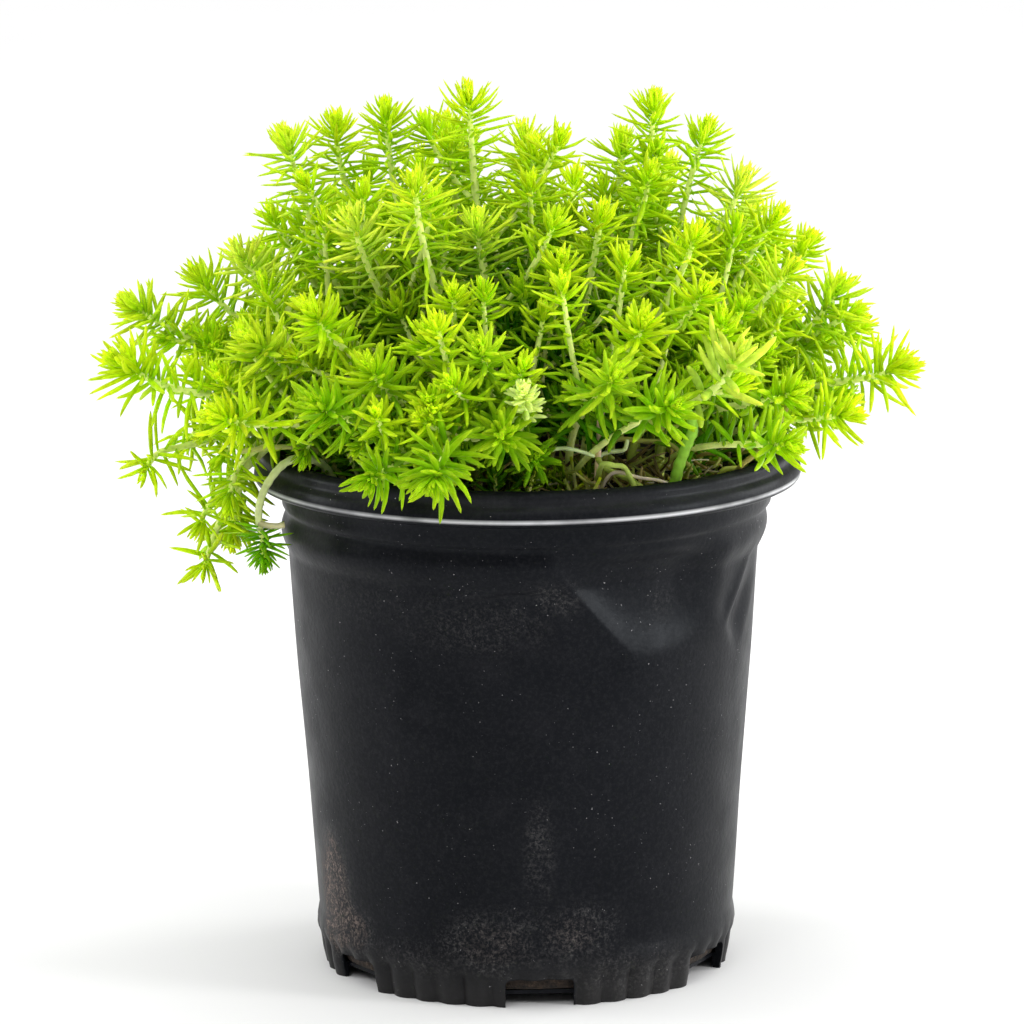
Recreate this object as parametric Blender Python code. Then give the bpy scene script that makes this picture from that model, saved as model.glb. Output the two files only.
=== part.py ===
"""A potted sedum: needle-leaved stems in potting soil, in a thin and dented nursery pot.

Metres, +Z up. The origin is on the ground under the middle of the pot, whose front faces -Y.
"""

import math
import random
from collections import namedtuple

import bmesh
import bpy
from mathutils import Quaternion, Vector

# The pot: a trade gallon pot, 165 mm across its lip and 160 mm tall
POT_SIDES = 40
WALL = 0.0012
FLOOR_UNDER = 0.0035
FLOOR_TOP = 0.0047
FLOOR_RADIUS = 0.0600
FOOT_INNER_RADIUS = 0.0590
BODY_LOW = (0.0632, 0.018)
BODY_HIGH = (0.0713, 0.129)
BODY_ROWS = 7
SHARP_ANGLE = math.radians(40.0)
FLUTE_DEPTH = 0.0012
RIM_SHIFT = 0.0014
RIM_SHIFT_FROM = 0.130
RIM_SHIFT_TO = 0.150

# Outlines of the pot's outside as (radius, height), from the ground up
FOOT = ((0.0614, 0.0), (0.0624, 0.0045), (0.0630, 0.0090))
FOOT_EDGE = ((0.0640, 0.0125),)
SHOULDER = ((0.0733, 0.1335), (0.0737, 0.1370), (0.0728, 0.1410), (0.0741, 0.1430), (0.0755, 0.1490))
LIP = (
    (0.0812, 0.1497),
    (0.0828, 0.1515),
    (0.0822, 0.1545),
    (0.0806, 0.1562),
    (0.0804, 0.1586),
    (0.0788, 0.1600),
    (0.0768, 0.1590),
)
THROAT = ((0.0745, 0.1490), (0.0716, 0.1410))

# The drain notches in the foot
NOTCHES = 6
NOTCH_TURN = math.radians(-90.0 + 3.6)
NOTCH_WIDTH = 0.0205
NOTCH_HEIGHT = 0.0087
NOTCH_INNER = 0.0580
NOTCH_OUTER = 0.0680

# Dents in the wall as (degrees from the front, height, half width, half height, depth)
DENTS = (
    (22.0, 0.108, 0.017, 0.014, 0.0034),
    (-8.0, 0.100, 0.020, 0.013, 0.0016),
    (82.0, 0.112, 0.012, 0.014, 0.0030),
)

# The soil: level, mound and the holes that the stems stand in
SOIL_SIDES = 24
SOIL_GAP = 0.0004
SOIL_EDGE_HEIGHT = 0.1500
SOIL_MOUND = 0.0045
SOIL_BUMP = 0.0011
SOIL_WAVE_ALONG = 190.0
SOIL_WAVE_ACROSS = 160.0
SOIL_WAVE_SLANTED = 310.0
SOIL_SLANTED_SHARE = 0.6
SOIL_TOP_RINGS = (1.0, 0.68, 0.34)
HOLE_HALF_WIDTH = 0.0020
HOLE_FLOOR = 0.1410
HOLE_SPACING = 0.0078
HOLE_SEARCH = 900
HOLE_SEARCH_STEP = 0.00078
BED_RADIUS = 0.0640

# Stems: three-sided rings with storeys between them, as (height, leaves, full or plain) from low to high.
# Full leaves swell to a belly; the plain ones, lower and half hidden, taper from their root.
STEM_RADIUS = 0.0015
TIP_RADIUS = 0.0011
STEM_FOOT = HOLE_FLOOR + 0.0003
STRAIGHT_TO = 0.1590
BARE_STEP = 0.023
OVER_STEP = 0.010
FORK_HEIGHT = 0.0032
FORK_SHARE = 0.5
MAIN_STOREYS = (
    *[(0.0048, 2, False)] * 3,
    *[(0.0042, 2, False)] * 3,
    *[(0.0036, 3, False)] * 3,
    (0.0032, 2, True),
    (0.0028, 2, True),
    (0.0024, 3, True),
)
SIDE_STOREYS = (
    *[(0.0044, 3, False)] * 2,
    *[(0.0036, 3, False)] * 2,
    (0.0030, 2, True),
    (0.0024, 3, True),
)
LEAFY_LENGTH = 0.045
MAIN = "main"
SIDE = "side"
FORK = -1
LEAST_BARE = {MAIN: 0.022, SIDE: 0.005}

# How a stem's curve sets off, arrives, and passes over the lip where its tip hangs
FOOT_SHARE = 0.52
RISE_SHARE = 0.38
REACH_SHARE = 0.36
OVER_LIP = 0.012
OVER_RISE = 0.030
OVER_REACH = 0.036
CURVE_STEPS = 60
TANGENT_STEP = 0.002

# Needles, 11 to 15 mm long, which lean from the stem and curl up; length and lean run from low to high
TIP_LEAF = 0.0095
LEAF_LENGTHS = (0.0150, 0.0110)
LEAF_LEANS = (math.radians(80.0), math.radians(32.0))
LENGTH_POWER = 0.6
LEAN_POWER = 0.7
LEAF_CURL = math.radians(17.0)
LEAF_HALF_WIDTH = 0.00105
LEAF_KEEL = 0.00050
LEAF_BACK = 0.00090
LEAF_BELLY = 0.42

# Ways to bend a leaf as (yaw, change of lean, share of its length), the natural way first
BENDS = (
    (0.0, 0.0, 1.0),
    (0.26, 0.0, 1.0),
    (-0.26, 0.0, 1.0),
    (0.0, -0.30, 1.0),
    (0.0, 0.25, 0.92),
    (0.45, -0.10, 0.85),
    (-0.45, -0.10, 0.85),
    (0.0, 0.0, 0.72),
)

# What keeps the stems and leaves clear of each other
CLEARANCE = 0.00035
BEAD_RADIUS = 0.00125
BEAD_STEP = 0.0016
LEAF_BEADS = 9
BEAD_TAPER = 0.85
SPIKE_BEAD_RADIUS = 0.0023
SPIKE_BEAD_TAPER = 0.88
LEAF_BOUND = 0.45
BOUNDS = {MAIN: STRAIGHT_TO - STEM_FOOT, SIDE: 0.006}
PUSHES = 90
PUSH_STEP = 0.0022

# Middles of the tip rosettes seen from the front as (x, y, z, degrees that they point above level)
FRONT_TIPS = (
    (-0.070, 0.005, 0.252, 76),
    (-0.056, 0.018, 0.255, 84),
    (-0.040, 0.005, 0.260, 88),
    (-0.015, -0.006, 0.266, 88),
    (-0.031, -0.045, 0.245, 80),
    (0.004, 0.005, 0.249, 88),
    (0.031, 0.020, 0.248, 85),
    (0.040, 0.000, 0.263, 88),
    (0.056, 0.012, 0.253, 70),
    (0.068, 0.006, 0.240, 66),
    (0.078, -0.004, 0.230, 52),
    (0.097, -0.005, 0.210, 62),
    (0.081, -0.036, 0.219, 48),
    (0.1175, -0.015, 0.186, 22),
    (0.106, 0.020, 0.194, 35),
    (-0.114, -0.004, 0.203, 50),
    (-0.117, -0.031, 0.190, 36),
    (-0.113, -0.020, 0.163, 14),
    (-0.097, -0.028, 0.146, -28),
    (-0.0955, -0.018, 0.129, -66),
    (-0.0885, -0.002, 0.131, -80),
    (-0.098, 0.010, 0.211, 55),
    (-0.085, -0.006, 0.221, 60),
    (-0.076, 0.025, 0.228, 64),
    (-0.062, -0.060, 0.211, 48),
    (-0.080, -0.045, 0.200, 40),
    (-0.044, -0.080, 0.198, 50),
    (-0.060, -0.082, 0.187, 26),
    (-0.028, -0.071, 0.206, 58),
    (-0.012, -0.083, 0.204, 46),
    (-0.006, -0.094, 0.180, 14),
    (-0.026, -0.104, 0.168, -8),
    (-0.045, -0.092, 0.165, -16),
    (0.036, -0.073, 0.210, 54),
    (0.027, -0.088, 0.196, 34),
    (0.044, -0.089, 0.187, 18),
    (0.063, -0.076, 0.200, 58),
    (0.012, -0.052, 0.224, 66),
    (0.082, -0.058, 0.186, 24),
    (0.101, -0.032, 0.174, 10),
    (-0.050, -0.030, 0.234, 74),
    (0.024, -0.032, 0.236, 78),
    (0.052, -0.042, 0.231, 68),
    (-0.013, -0.034, 0.234, 80),
    (-0.090, -0.062, 0.180, 20),
    (0.079, -0.072, 0.172, 6),
)

# The rosettes of the back, spread over a dome by a rule
ROSETTE_DEPTH = 0.004
BACK_TIPS = 32
BACK_FROM = 0.010
DOME_RADIUS = 0.1077
DOME_MIDDLE = 0.168
DOME_RISE = 0.090
DOME_LOWEST = -0.06
DOME_TRIES = 2000
DOME_CHANCE = (0.94, 1.03)
DOME_STEP_UP = 0.754878
DOME_STEP_ROUND = 0.569840
DOME_EDGE_DEGREES = 6.0
DOME_TOP_DEGREES = 86.0
TIP_SPACING = 0.0235
STEM_NODES = 53
SEED = 11
GOLDEN_ANGLE = math.pi * (3.0 - math.sqrt(5.0))
LIP_TOP = 0.1600
NEAR_LIP = 0.1640
UP = Vector((0.0, 0.0, 1.0))


def clear_scene():
    for thing in list(bpy.data.objects):
        bpy.data.objects.remove(thing, do_unlink=True)


def make_material(name, colour, roughness):
    material = bpy.data.materials.new(name)
    material.use_nodes = True
    shader = material.node_tree.nodes["Principled BSDF"]
    shader.inputs["Base Color"].default_value = (*colour, 1.0)
    shader.inputs["Roughness"].default_value = roughness
    shader.inputs["Metallic"].default_value = 0.0
    return material


def make_object(name, bm, material=None):
    """One object from a bmesh, which is used up."""
    mesh = bpy.data.meshes.new(name)
    bm.to_mesh(mesh)
    bm.free()
    thing = bpy.data.objects.new(name, mesh)
    bpy.context.scene.collection.objects.link(thing)
    if material:
        mesh.materials.append(material)
    return thing


def cut(thing, cutter):
    """A Boolean difference with a guide that stays hidden."""
    cutter.hide_render = True
    cutter.display_type = "WIRE"
    modifier = thing.modifiers.new("cut", "BOOLEAN")
    modifier.operation = "DIFFERENCE"
    modifier.object = cutter
    modifier.solver = "EXACT"


def smooth_step(value, low, high):
    share = min(max((value - low) / (high - low), 0.0), 1.0)
    return share * share * (3.0 - 2.0 * share)


def rim_shift(height):
    """How far the soft neck and lip sit off the body's axis, along +X."""
    return RIM_SHIFT * smooth_step(height, RIM_SHIFT_FROM, RIM_SHIFT_TO)


def dent_depth(angle, height, radius):
    """How far the wall is pushed in at this place."""
    depth = 0.0
    for degrees, middle, half_width, half_height, most in DENTS:
        off = math.remainder(angle - math.radians(degrees - 90.0), 2.0 * math.pi)
        across = off * radius / half_width
        along = (height - middle) / half_height
        depth += most * math.exp(-across * across - along * along)
    return depth


def body_rows():
    """Radius and height of each row of the straight, tapered wall."""
    rows = []
    for row in range(BODY_ROWS):
        share = row / (BODY_ROWS - 1)
        rows.append(tuple(low + share * (high - low) for low, high in zip(BODY_LOW, BODY_HIGH)))
    return rows


def pot_outside():
    return [*FOOT, *FOOT_EDGE, *body_rows(), *SHOULDER, *LIP]


def pot_inside():
    inner = [(radius - WALL, height) for radius, height in reversed(body_rows())]
    return [*THROAT, *inner, (FOOT[-1][0] - WALL, FOOT[-1][1]), (FLOOR_RADIUS, FLOOR_TOP)]


def pot_under():
    return [(FOOT_INNER_RADIUS, FLOOR_UNDER), (FOOT_INNER_RADIUS, 0.0)]


POT_OUTLINE = [Vector(point) for point in (*pot_outside()[len(FOOT) :], *pot_inside()[:4])]


def pot_ring(bm, radius, height, fluted):
    """One ring of the pot's wall, dented, and fluted on the foot."""
    ring = []
    for side in range(POT_SIDES):
        angle = 2.0 * math.pi * side / POT_SIDES
        reach = radius - dent_depth(angle, height, radius)
        if fluted and side % 2:
            reach -= FLUTE_DEPTH
        place = (reach * math.cos(angle) + rim_shift(height), reach * math.sin(angle), height)
        ring.append(bm.verts.new(place))
    return ring


def bridge(bm, low, high):
    """Faces between two rings of as many points; they face out where the outline goes up."""
    count = len(low)
    for side in range(count):
        after = (side + 1) % count
        bm.faces.new((low[side], low[after], high[after], high[side]))


def cap(bm, ring, height, facing_up):
    """A fan that closes a ring round the axis."""
    middle = bm.verts.new((0.0, 0.0, height))
    count = len(ring)
    for side in range(count):
        after = (side + 1) % count
        ends = (ring[side], ring[after]) if facing_up else (ring[after], ring[side])
        bm.faces.new((*ends, middle))


def build_pot(material):
    bm = bmesh.new()
    rings = [pot_ring(bm, *point, fluted=False) for point in pot_under()]
    for point in pot_outside():
        rings.append(pot_ring(bm, *point, fluted=point in FOOT[:2]))
    rings += [pot_ring(bm, *point, fluted=False) for point in pot_inside()]
    for low, high in zip(rings, rings[1:]):
        bridge(bm, low, high)
    cap(bm, rings[0], FLOOR_UNDER, facing_up=False)
    cap(bm, rings[-1], FLOOR_TOP, facing_up=True)
    pot = make_object("nursery_pot", bm, material)
    cut(pot, build_notch_cutter())
    pot.data.shade_smooth()
    pot.data.set_sharp_from_angle(angle=SHARP_ANGLE)
    return pot


def build_notch_cutter():
    """Six boxes that cut the drain notches through the foot."""
    bm = bmesh.new()
    for notch in range(NOTCHES):
        angle = NOTCH_TURN + notch * 2.0 * math.pi / NOTCHES
        outward = Vector((math.cos(angle), math.sin(angle), 0.0))
        sideways = UP.cross(outward)
        made = bmesh.ops.create_cube(bm, size=1.0)
        for vert in made["verts"]:
            share_out, share_side, share_up = vert.co
            reach = NOTCH_INNER + (share_out + 0.5) * (NOTCH_OUTER - NOTCH_INNER)
            height = -NOTCH_HEIGHT + (share_up + 0.5) * 2.0 * NOTCH_HEIGHT
            vert.co = outward * reach + sideways * share_side * NOTCH_WIDTH + UP * height
    return make_object("notch_cutter", bm)


def soil_height(x, y):
    """The uneven top of the soil, a little higher in the middle."""
    reach = min(math.hypot(x, y) / THROAT[0][0], 1.0)
    bumps = math.sin(x * SOIL_WAVE_ALONG + 1.0) * math.cos(y * SOIL_WAVE_ACROSS)
    bumps += SOIL_SLANTED_SHARE * math.sin((x + y) * SOIL_WAVE_SLANTED)
    return SOIL_EDGE_HEIGHT + SOIL_MOUND * (1.0 - reach**2) + SOIL_BUMP * bumps * (1.0 - reach**4)


def soil_ring(bm, radius, height=None):
    """One ring of the soil; without a height it lies on the uneven top."""
    ring = []
    for side in range(SOIL_SIDES):
        angle = 2.0 * math.pi * side / SOIL_SIDES
        x = radius * math.cos(angle)
        y = radius * math.sin(angle)
        z = soil_height(x, y) if height is None else height
        ring.append(bm.verts.new((x + rim_shift(z), y, z)))
    return ring


def soil_outline():
    """Radius and height down the soil's side, clear of the wall and of its dents."""
    deepest = max(dent[-1] for dent in DENTS)
    return (
        (FLOOR_RADIUS - WALL, FLOOR_TOP + SOIL_GAP),
        (BODY_LOW[0] - 2.0 * WALL, BODY_LOW[1]),
        (BODY_HIGH[0] - WALL - deepest - 2.0 * SOIL_GAP, BODY_HIGH[1]),
        (THROAT[1][0] - SOIL_GAP, THROAT[1][1]),
    )


def build_soil(holes, material):
    bm = bmesh.new()
    rings = [soil_ring(bm, *point) for point in soil_outline()]
    top_radius = THROAT[0][0] - SOIL_GAP
    rings += [soil_ring(bm, top_radius * share) for share in SOIL_TOP_RINGS]
    for low, high in zip(rings, rings[1:]):
        bridge(bm, low, high)
    cap(bm, rings[0], FLOOR_TOP + SOIL_GAP, facing_up=False)
    cap(bm, rings[-1], soil_height(0.0, 0.0), facing_up=True)
    soil = make_object("potting_soil", bm, material)
    cut(soil, build_hole_cutter(holes))
    return soil


def build_hole_cutter(holes):
    """A square prism for each stem's hole in the soil."""
    bm = bmesh.new()
    for hole in holes:
        made = bmesh.ops.create_cube(bm, size=2.0)
        for vert in made["verts"]:
            vert.co.x = hole.x + vert.co.x * HOLE_HALF_WIDTH
            vert.co.y = hole.y + vert.co.y * HOLE_HALF_WIDTH
            vert.co.z = HOLE_FLOOR + (vert.co.z + 1.0) * (SOIL_EDGE_HEIGHT - HOLE_FLOOR + SOIL_MOUND)
    return make_object("hole_cutter", bm)


class Beads:
    """Beads strung along what is in place, in a grid of small cells, to keep what is added clear of it."""

    CELL = 0.0045

    def __init__(self):
        self.cells = {}

    def key(self, place):
        return tuple(math.floor(part / self.CELL) for part in place)

    def add(self, beads):
        for bead in beads:
            self.cells.setdefault(self.key(bead.place), []).append(bead)

    def near(self, place):
        a, b, c = self.key(place)
        for i in (a - 1, a, a + 1):
            for j in (b - 1, b, b + 1):
                for k in (c - 1, c, c + 1):
                    yield from self.cells.get((i, j, k), ())

    def touched_by(self, beads):
        """Whether any of these beads comes too near to one in place."""
        for bead in beads:
            for other in self.near(bead.place):
                if other.stem == bead.stem and not may_meet(other, bead):
                    continue
                if (bead.place - other.place).length < bead.radius + other.radius + CLEARANCE:
                    return True
        return False


Bead = namedtuple("Bead", "stem part free place radius")


def may_meet(one, other):
    """Within one stem only different parts can meet, and only away from where they are joined."""
    return one.part != other.part and one.free and other.free


def pot_gap(place):
    """How far a point is from the pot's outline, seen as a turned shape."""
    point = Vector((math.hypot(place.x - rim_shift(place.z), place.y), place.z))
    nearest = 1.0
    for start, end in zip(POT_OUTLINE, POT_OUTLINE[1:]):
        run = end - start
        share = min(max((point - start).dot(run) / run.length_squared, 0.0), 1.0)
        nearest = min(nearest, (point - start - run * share).length)
    return nearest


def clear_of_pot(beads):
    """Whether beads stay clear of the pot's wall and lip, and above the soil."""
    for bead in beads:
        place = bead.place
        if place.z > NEAR_LIP:
            continue
        if pot_gap(place) < bead.radius + 2.0 * CLEARANCE:
            return False
        inside = math.hypot(place.x - rim_shift(place.z), place.y) < THROAT[0][0]
        if inside and place.z < soil_height(place.x, place.y) + bead.radius + 2.0 * CLEARANCE:
            return False
    return True


def heading_at(x, y, degrees):
    """The way a tip points: away from the pot's axis, and so far above level."""
    outward = Vector((x, y, 0.0)).normalized()
    rise = math.radians(degrees)
    return outward * math.cos(rise) + UP * math.sin(rise)


def back_tips():
    """Tips over the back of the dome, evenly spread with a little chance in them."""
    chance = random.Random(SEED)
    placed = [Vector(tip[:3]) for tip in FRONT_TIPS]
    found = []
    for step in range(1, DOME_TRIES):
        rise = DOME_LOWEST + (1.0 - DOME_LOWEST) * (step * DOME_STEP_UP % 1.0)
        angle = 2.0 * math.pi * (step * DOME_STEP_ROUND % 1.0)
        reach = DOME_RADIUS * math.sqrt(1.0 - rise * rise) * chance.uniform(*DOME_CHANCE)
        tip = Vector((reach * math.cos(angle), reach * math.sin(angle), DOME_MIDDLE + DOME_RISE * rise))
        if tip.y < BACK_FROM or min((tip - other).length for other in placed) < TIP_SPACING:
            continue
        placed.append(tip)
        found.append((*tip, DOME_EDGE_DEGREES + (DOME_TOP_DEGREES - DOME_EDGE_DEGREES) * rise))
        if len(found) == BACK_TIPS:
            break
    return found


def paired_tips():
    """Tips grouped into stems: the nearest pairs share one stem until few enough are left."""
    tips = []
    for x, y, z, degrees in (*FRONT_TIPS, *back_tips()):
        heading = heading_at(x, y, degrees)
        tips.append((Vector((x, y, z)) - heading * ROSETTE_DEPTH, heading))
    gaps = []
    for i, (first, _) in enumerate(tips):
        for j in range(i + 1, len(tips)):
            gaps.append(((first - tips[j][0]).length, i, j))
    partner = {}
    for _, i, j in sorted(gaps):
        if len(tips) - len(partner) // 2 <= STEM_NODES:
            break
        if i in partner or j in partner or min(tips[i][0].z, tips[j][0].z) < LIP_TOP:
            continue
        partner[i] = j
        partner[j] = i
    groups = []
    for i, tip in enumerate(tips):
        mate = partner.get(i)
        if mate is None:
            groups.append([tip])
        elif mate > i:
            groups.append(sorted([tip, tips[mate]], key=lambda one: -one[0].z))
    return groups


def free_hole(tip, taken):
    """The free place in the soil that is nearest to the one under half of a tip's reach."""
    wanted = Vector((tip.x, tip.y)) * FOOT_SHARE
    for step in range(HOLE_SEARCH):
        angle = step * GOLDEN_ANGLE
        reach = HOLE_SEARCH_STEP * math.sqrt(step)
        place = wanted + Vector((math.cos(angle), math.sin(angle))) * reach
        if place.length > BED_RADIUS:
            continue
        if all(max(abs(place.x - one.x), abs(place.y - one.y)) >= HOLE_SPACING for one in taken):
            return place
    raise ValueError("the soil has no room left for a stem")


def bezier(points, share):
    a, b, c, d = points
    rest = 1.0 - share
    return a * rest**3 + b * (3.0 * rest**2 * share) + c * (3.0 * rest * share**2) + d * share**3


def line_length(points):
    return sum((end - start).length for start, end in zip(points, points[1:]))


def resample(points, stations):
    """Places at the given rising lengths along a line of points."""
    places = []
    walked = 0.0
    wanted = list(stations)
    for start, end in zip(points, points[1:]):
        length = (end - start).length
        while wanted and wanted[0] <= walked + length:
            places.append(start.lerp(end, (wanted.pop(0) - walked) / length))
        walked += length
    return places + [points[-1].copy() for _ in wanted]


def string_beads(stem, part, places, radius, bound):
    """Beads along a stem; those nearer to its start than bound are joined to what it grows from."""
    length = line_length(places)
    count = max(int(length / BEAD_STEP), 2)
    stations = [length * step / (count - 1) for step in range(count)]
    spots = zip(stations, resample(places, stations))
    return [Bead(stem, part, station > bound, place, radius) for station, place in spots]


def bare_run(length, longest):
    """Storeys without leaves, none longer than the longest step."""
    steps = max(math.ceil(length / longest), 1)
    return [(length / steps, 0, False)] * steps


def storeys_along(length, part, fork, longest):
    """All storeys of a shoot; a short one goes without its lowest leaves, and a fork is a short bare storey."""
    leafy = list(MAIN_STOREYS if part == MAIN else SIDE_STOREYS)
    while length - sum(storey[0] for storey in leafy) < LEAST_BARE[part]:
        leafy.pop(0)
    bare = length - sum(storey[0] for storey in leafy)
    if not fork:
        return [*bare_run(bare, longest), *leafy]
    below = bare_run(bare * FORK_SHARE, longest)
    above = bare_run(bare * (1.0 - FORK_SHARE) - FORK_HEIGHT, longest)
    return [*below, (FORK_HEIGHT, FORK, False), *above, *leafy]


class Shoot:
    """A run of three-sided rings, each turned by 60 degrees from the last, with a storey between each two."""

    def __init__(self, stem, part, line, storeys, radius):
        self.stem = stem
        self.part = part
        self.storeys = storeys
        stations = [0.0]
        for storey in storeys:
            stations.append(stations[-1] + storey[0])
        self.stations = stations
        self.places = resample(line, stations)
        before = resample(line, [max(station - TANGENT_STEP, 0.0) for station in stations])
        after = resample(line, [station + TANGENT_STEP for station in stations])
        self.tangents = [(b - a).normalized() for a, b in zip(before, after)]
        self.radii = [radius + (TIP_RADIUS - radius) * station / stations[-1] for station in stations]
        self.beads = string_beads(stem, part, self.places, radius, BOUNDS[part])

    def rings(self, bm, root):
        """The rings as vertices; a side shoot's first ring is the face that it grows from."""
        rings = []
        side = self.tangents[0].orthogonal()
        if root:
            side = root[0].co - self.places[0]
            rings.append(list(root))
        for place, tangent, radius in list(zip(self.places, self.tangents, self.radii))[len(rings) :]:
            side = (side - tangent * side.dot(tangent)).normalized()
            if rings:
                side = Quaternion(tangent, math.radians(60.0)) @ side
            arms = [Quaternion(tangent, math.radians(120.0 * corner)) @ side for corner in range(3)]
            rings.append([bm.verts.new(place + arm * radius) for arm in arms])
        return rings

    def skin(self, bm, root=None):
        """Skin the rings with downward faces, and keep the upward ones open for what grows from them."""
        rings = self.rings(bm, root)
        self.openings = []
        for low, high in zip(rings, rings[1:]):
            around = ((0, 1), (1, 2), (2, 0))
            self.openings.append([(low[corner], low[after], high[corner]) for corner, after in around])
            for corner, after in around:
                bm.faces.new((low[after], high[after], high[corner]))
        if not root:
            bm.faces.new(tuple(reversed(rings[0])))
        self.top = rings[-1]


def leaf_line(root, axis, lean, length, yaw, curl):
    """Root, belly and tip of a leaf that leaves the stem at a lean from its axis and curls up."""
    middle = centre_of(root)
    normal = normal_of(root)
    outward = Quaternion(axis, yaw) @ (normal - axis * normal.dot(axis)).normalized()
    first = outward * math.sin(lean) + axis * math.cos(lean)
    later = outward * math.sin(lean - curl) + axis * math.cos(lean - curl)
    belly = middle + first * length * LEAF_BELLY
    return middle, belly, belly + later * length * (1.0 - LEAF_BELLY)


def centre_of(corners):
    return sum((corner.co for corner in corners), Vector()) / len(corners)


def normal_of(corners):
    a, b, c = (corner.co for corner in corners)
    return (b - a).cross(c - a).normalized()


def leaf_beads(stem, part, line, full=True):
    """Beads from a leaf's root to its tip; those of a spike are wide at its root and shrink all the way."""
    root, belly, tip = line
    beads = []
    for step in range(1, LEAF_BEADS + 1):
        share = step / LEAF_BEADS
        rest = max(share - LEAF_BELLY, 0.0) / (1.0 - LEAF_BELLY)
        place = root.lerp(belly, share / LEAF_BELLY) if rest == 0.0 else belly.lerp(tip, rest)
        radius = BEAD_RADIUS * (1.0 - BEAD_TAPER * rest)
        if not full:
            radius = SPIKE_BEAD_RADIUS * (1.0 - SPIKE_BEAD_TAPER * share)
        beads.append(Bead(stem, part, share > LEAF_BOUND, place, radius))
    return beads


def grow_leaf(bm, root, line):
    """A three-sided needle that swells to its belly and ends in a point."""
    middle, belly, tip = line
    first = (belly - middle).normalized()
    side = root[1].co - root[0].co
    side = (side - first * side.dot(first)).normalized()
    back = first.cross(side)
    if back.dot(root[2].co - middle) < 0.0:
        back = -back
    corners = (
        belly - side * LEAF_HALF_WIDTH - back * LEAF_KEEL,
        belly + side * LEAF_HALF_WIDTH - back * LEAF_KEEL,
        belly + back * LEAF_BACK,
    )
    ring = [bm.verts.new(corner) for corner in corners]
    point = bm.verts.new(tip)
    for corner in range(3):
        after = (corner + 1) % 3
        bm.faces.new((root[corner], root[after], ring[after]))
        bm.faces.new((root[corner], ring[after], ring[corner]))
        bm.faces.new((ring[corner], ring[after], point))


def grow_spike(bm, root, line):
    """A plain needle that tapers from its root."""
    point = bm.verts.new(line[2])
    for corner in range(3):
        bm.faces.new((root[corner], root[(corner + 1) % 3], point))


def try_leaf(bm, stem, part, root, axis, lean, length, full, beads):
    """Grow a leaf in the first way that is clear of everything, or leave its face bare."""
    for yaw, more_lean, share in BENDS:
        curl = LEAF_CURL if full else 0.0
        line = leaf_line(root, axis, lean + more_lean, length * share, yaw, curl)
        strung = leaf_beads(stem, part, line, full)
        if clear_of_pot(strung) and not beads.touched_by(strung):
            grow = grow_leaf if full else grow_spike
            grow(bm, root, line)
            beads.add(strung)
            return
    bm.faces.new(root)


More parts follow.
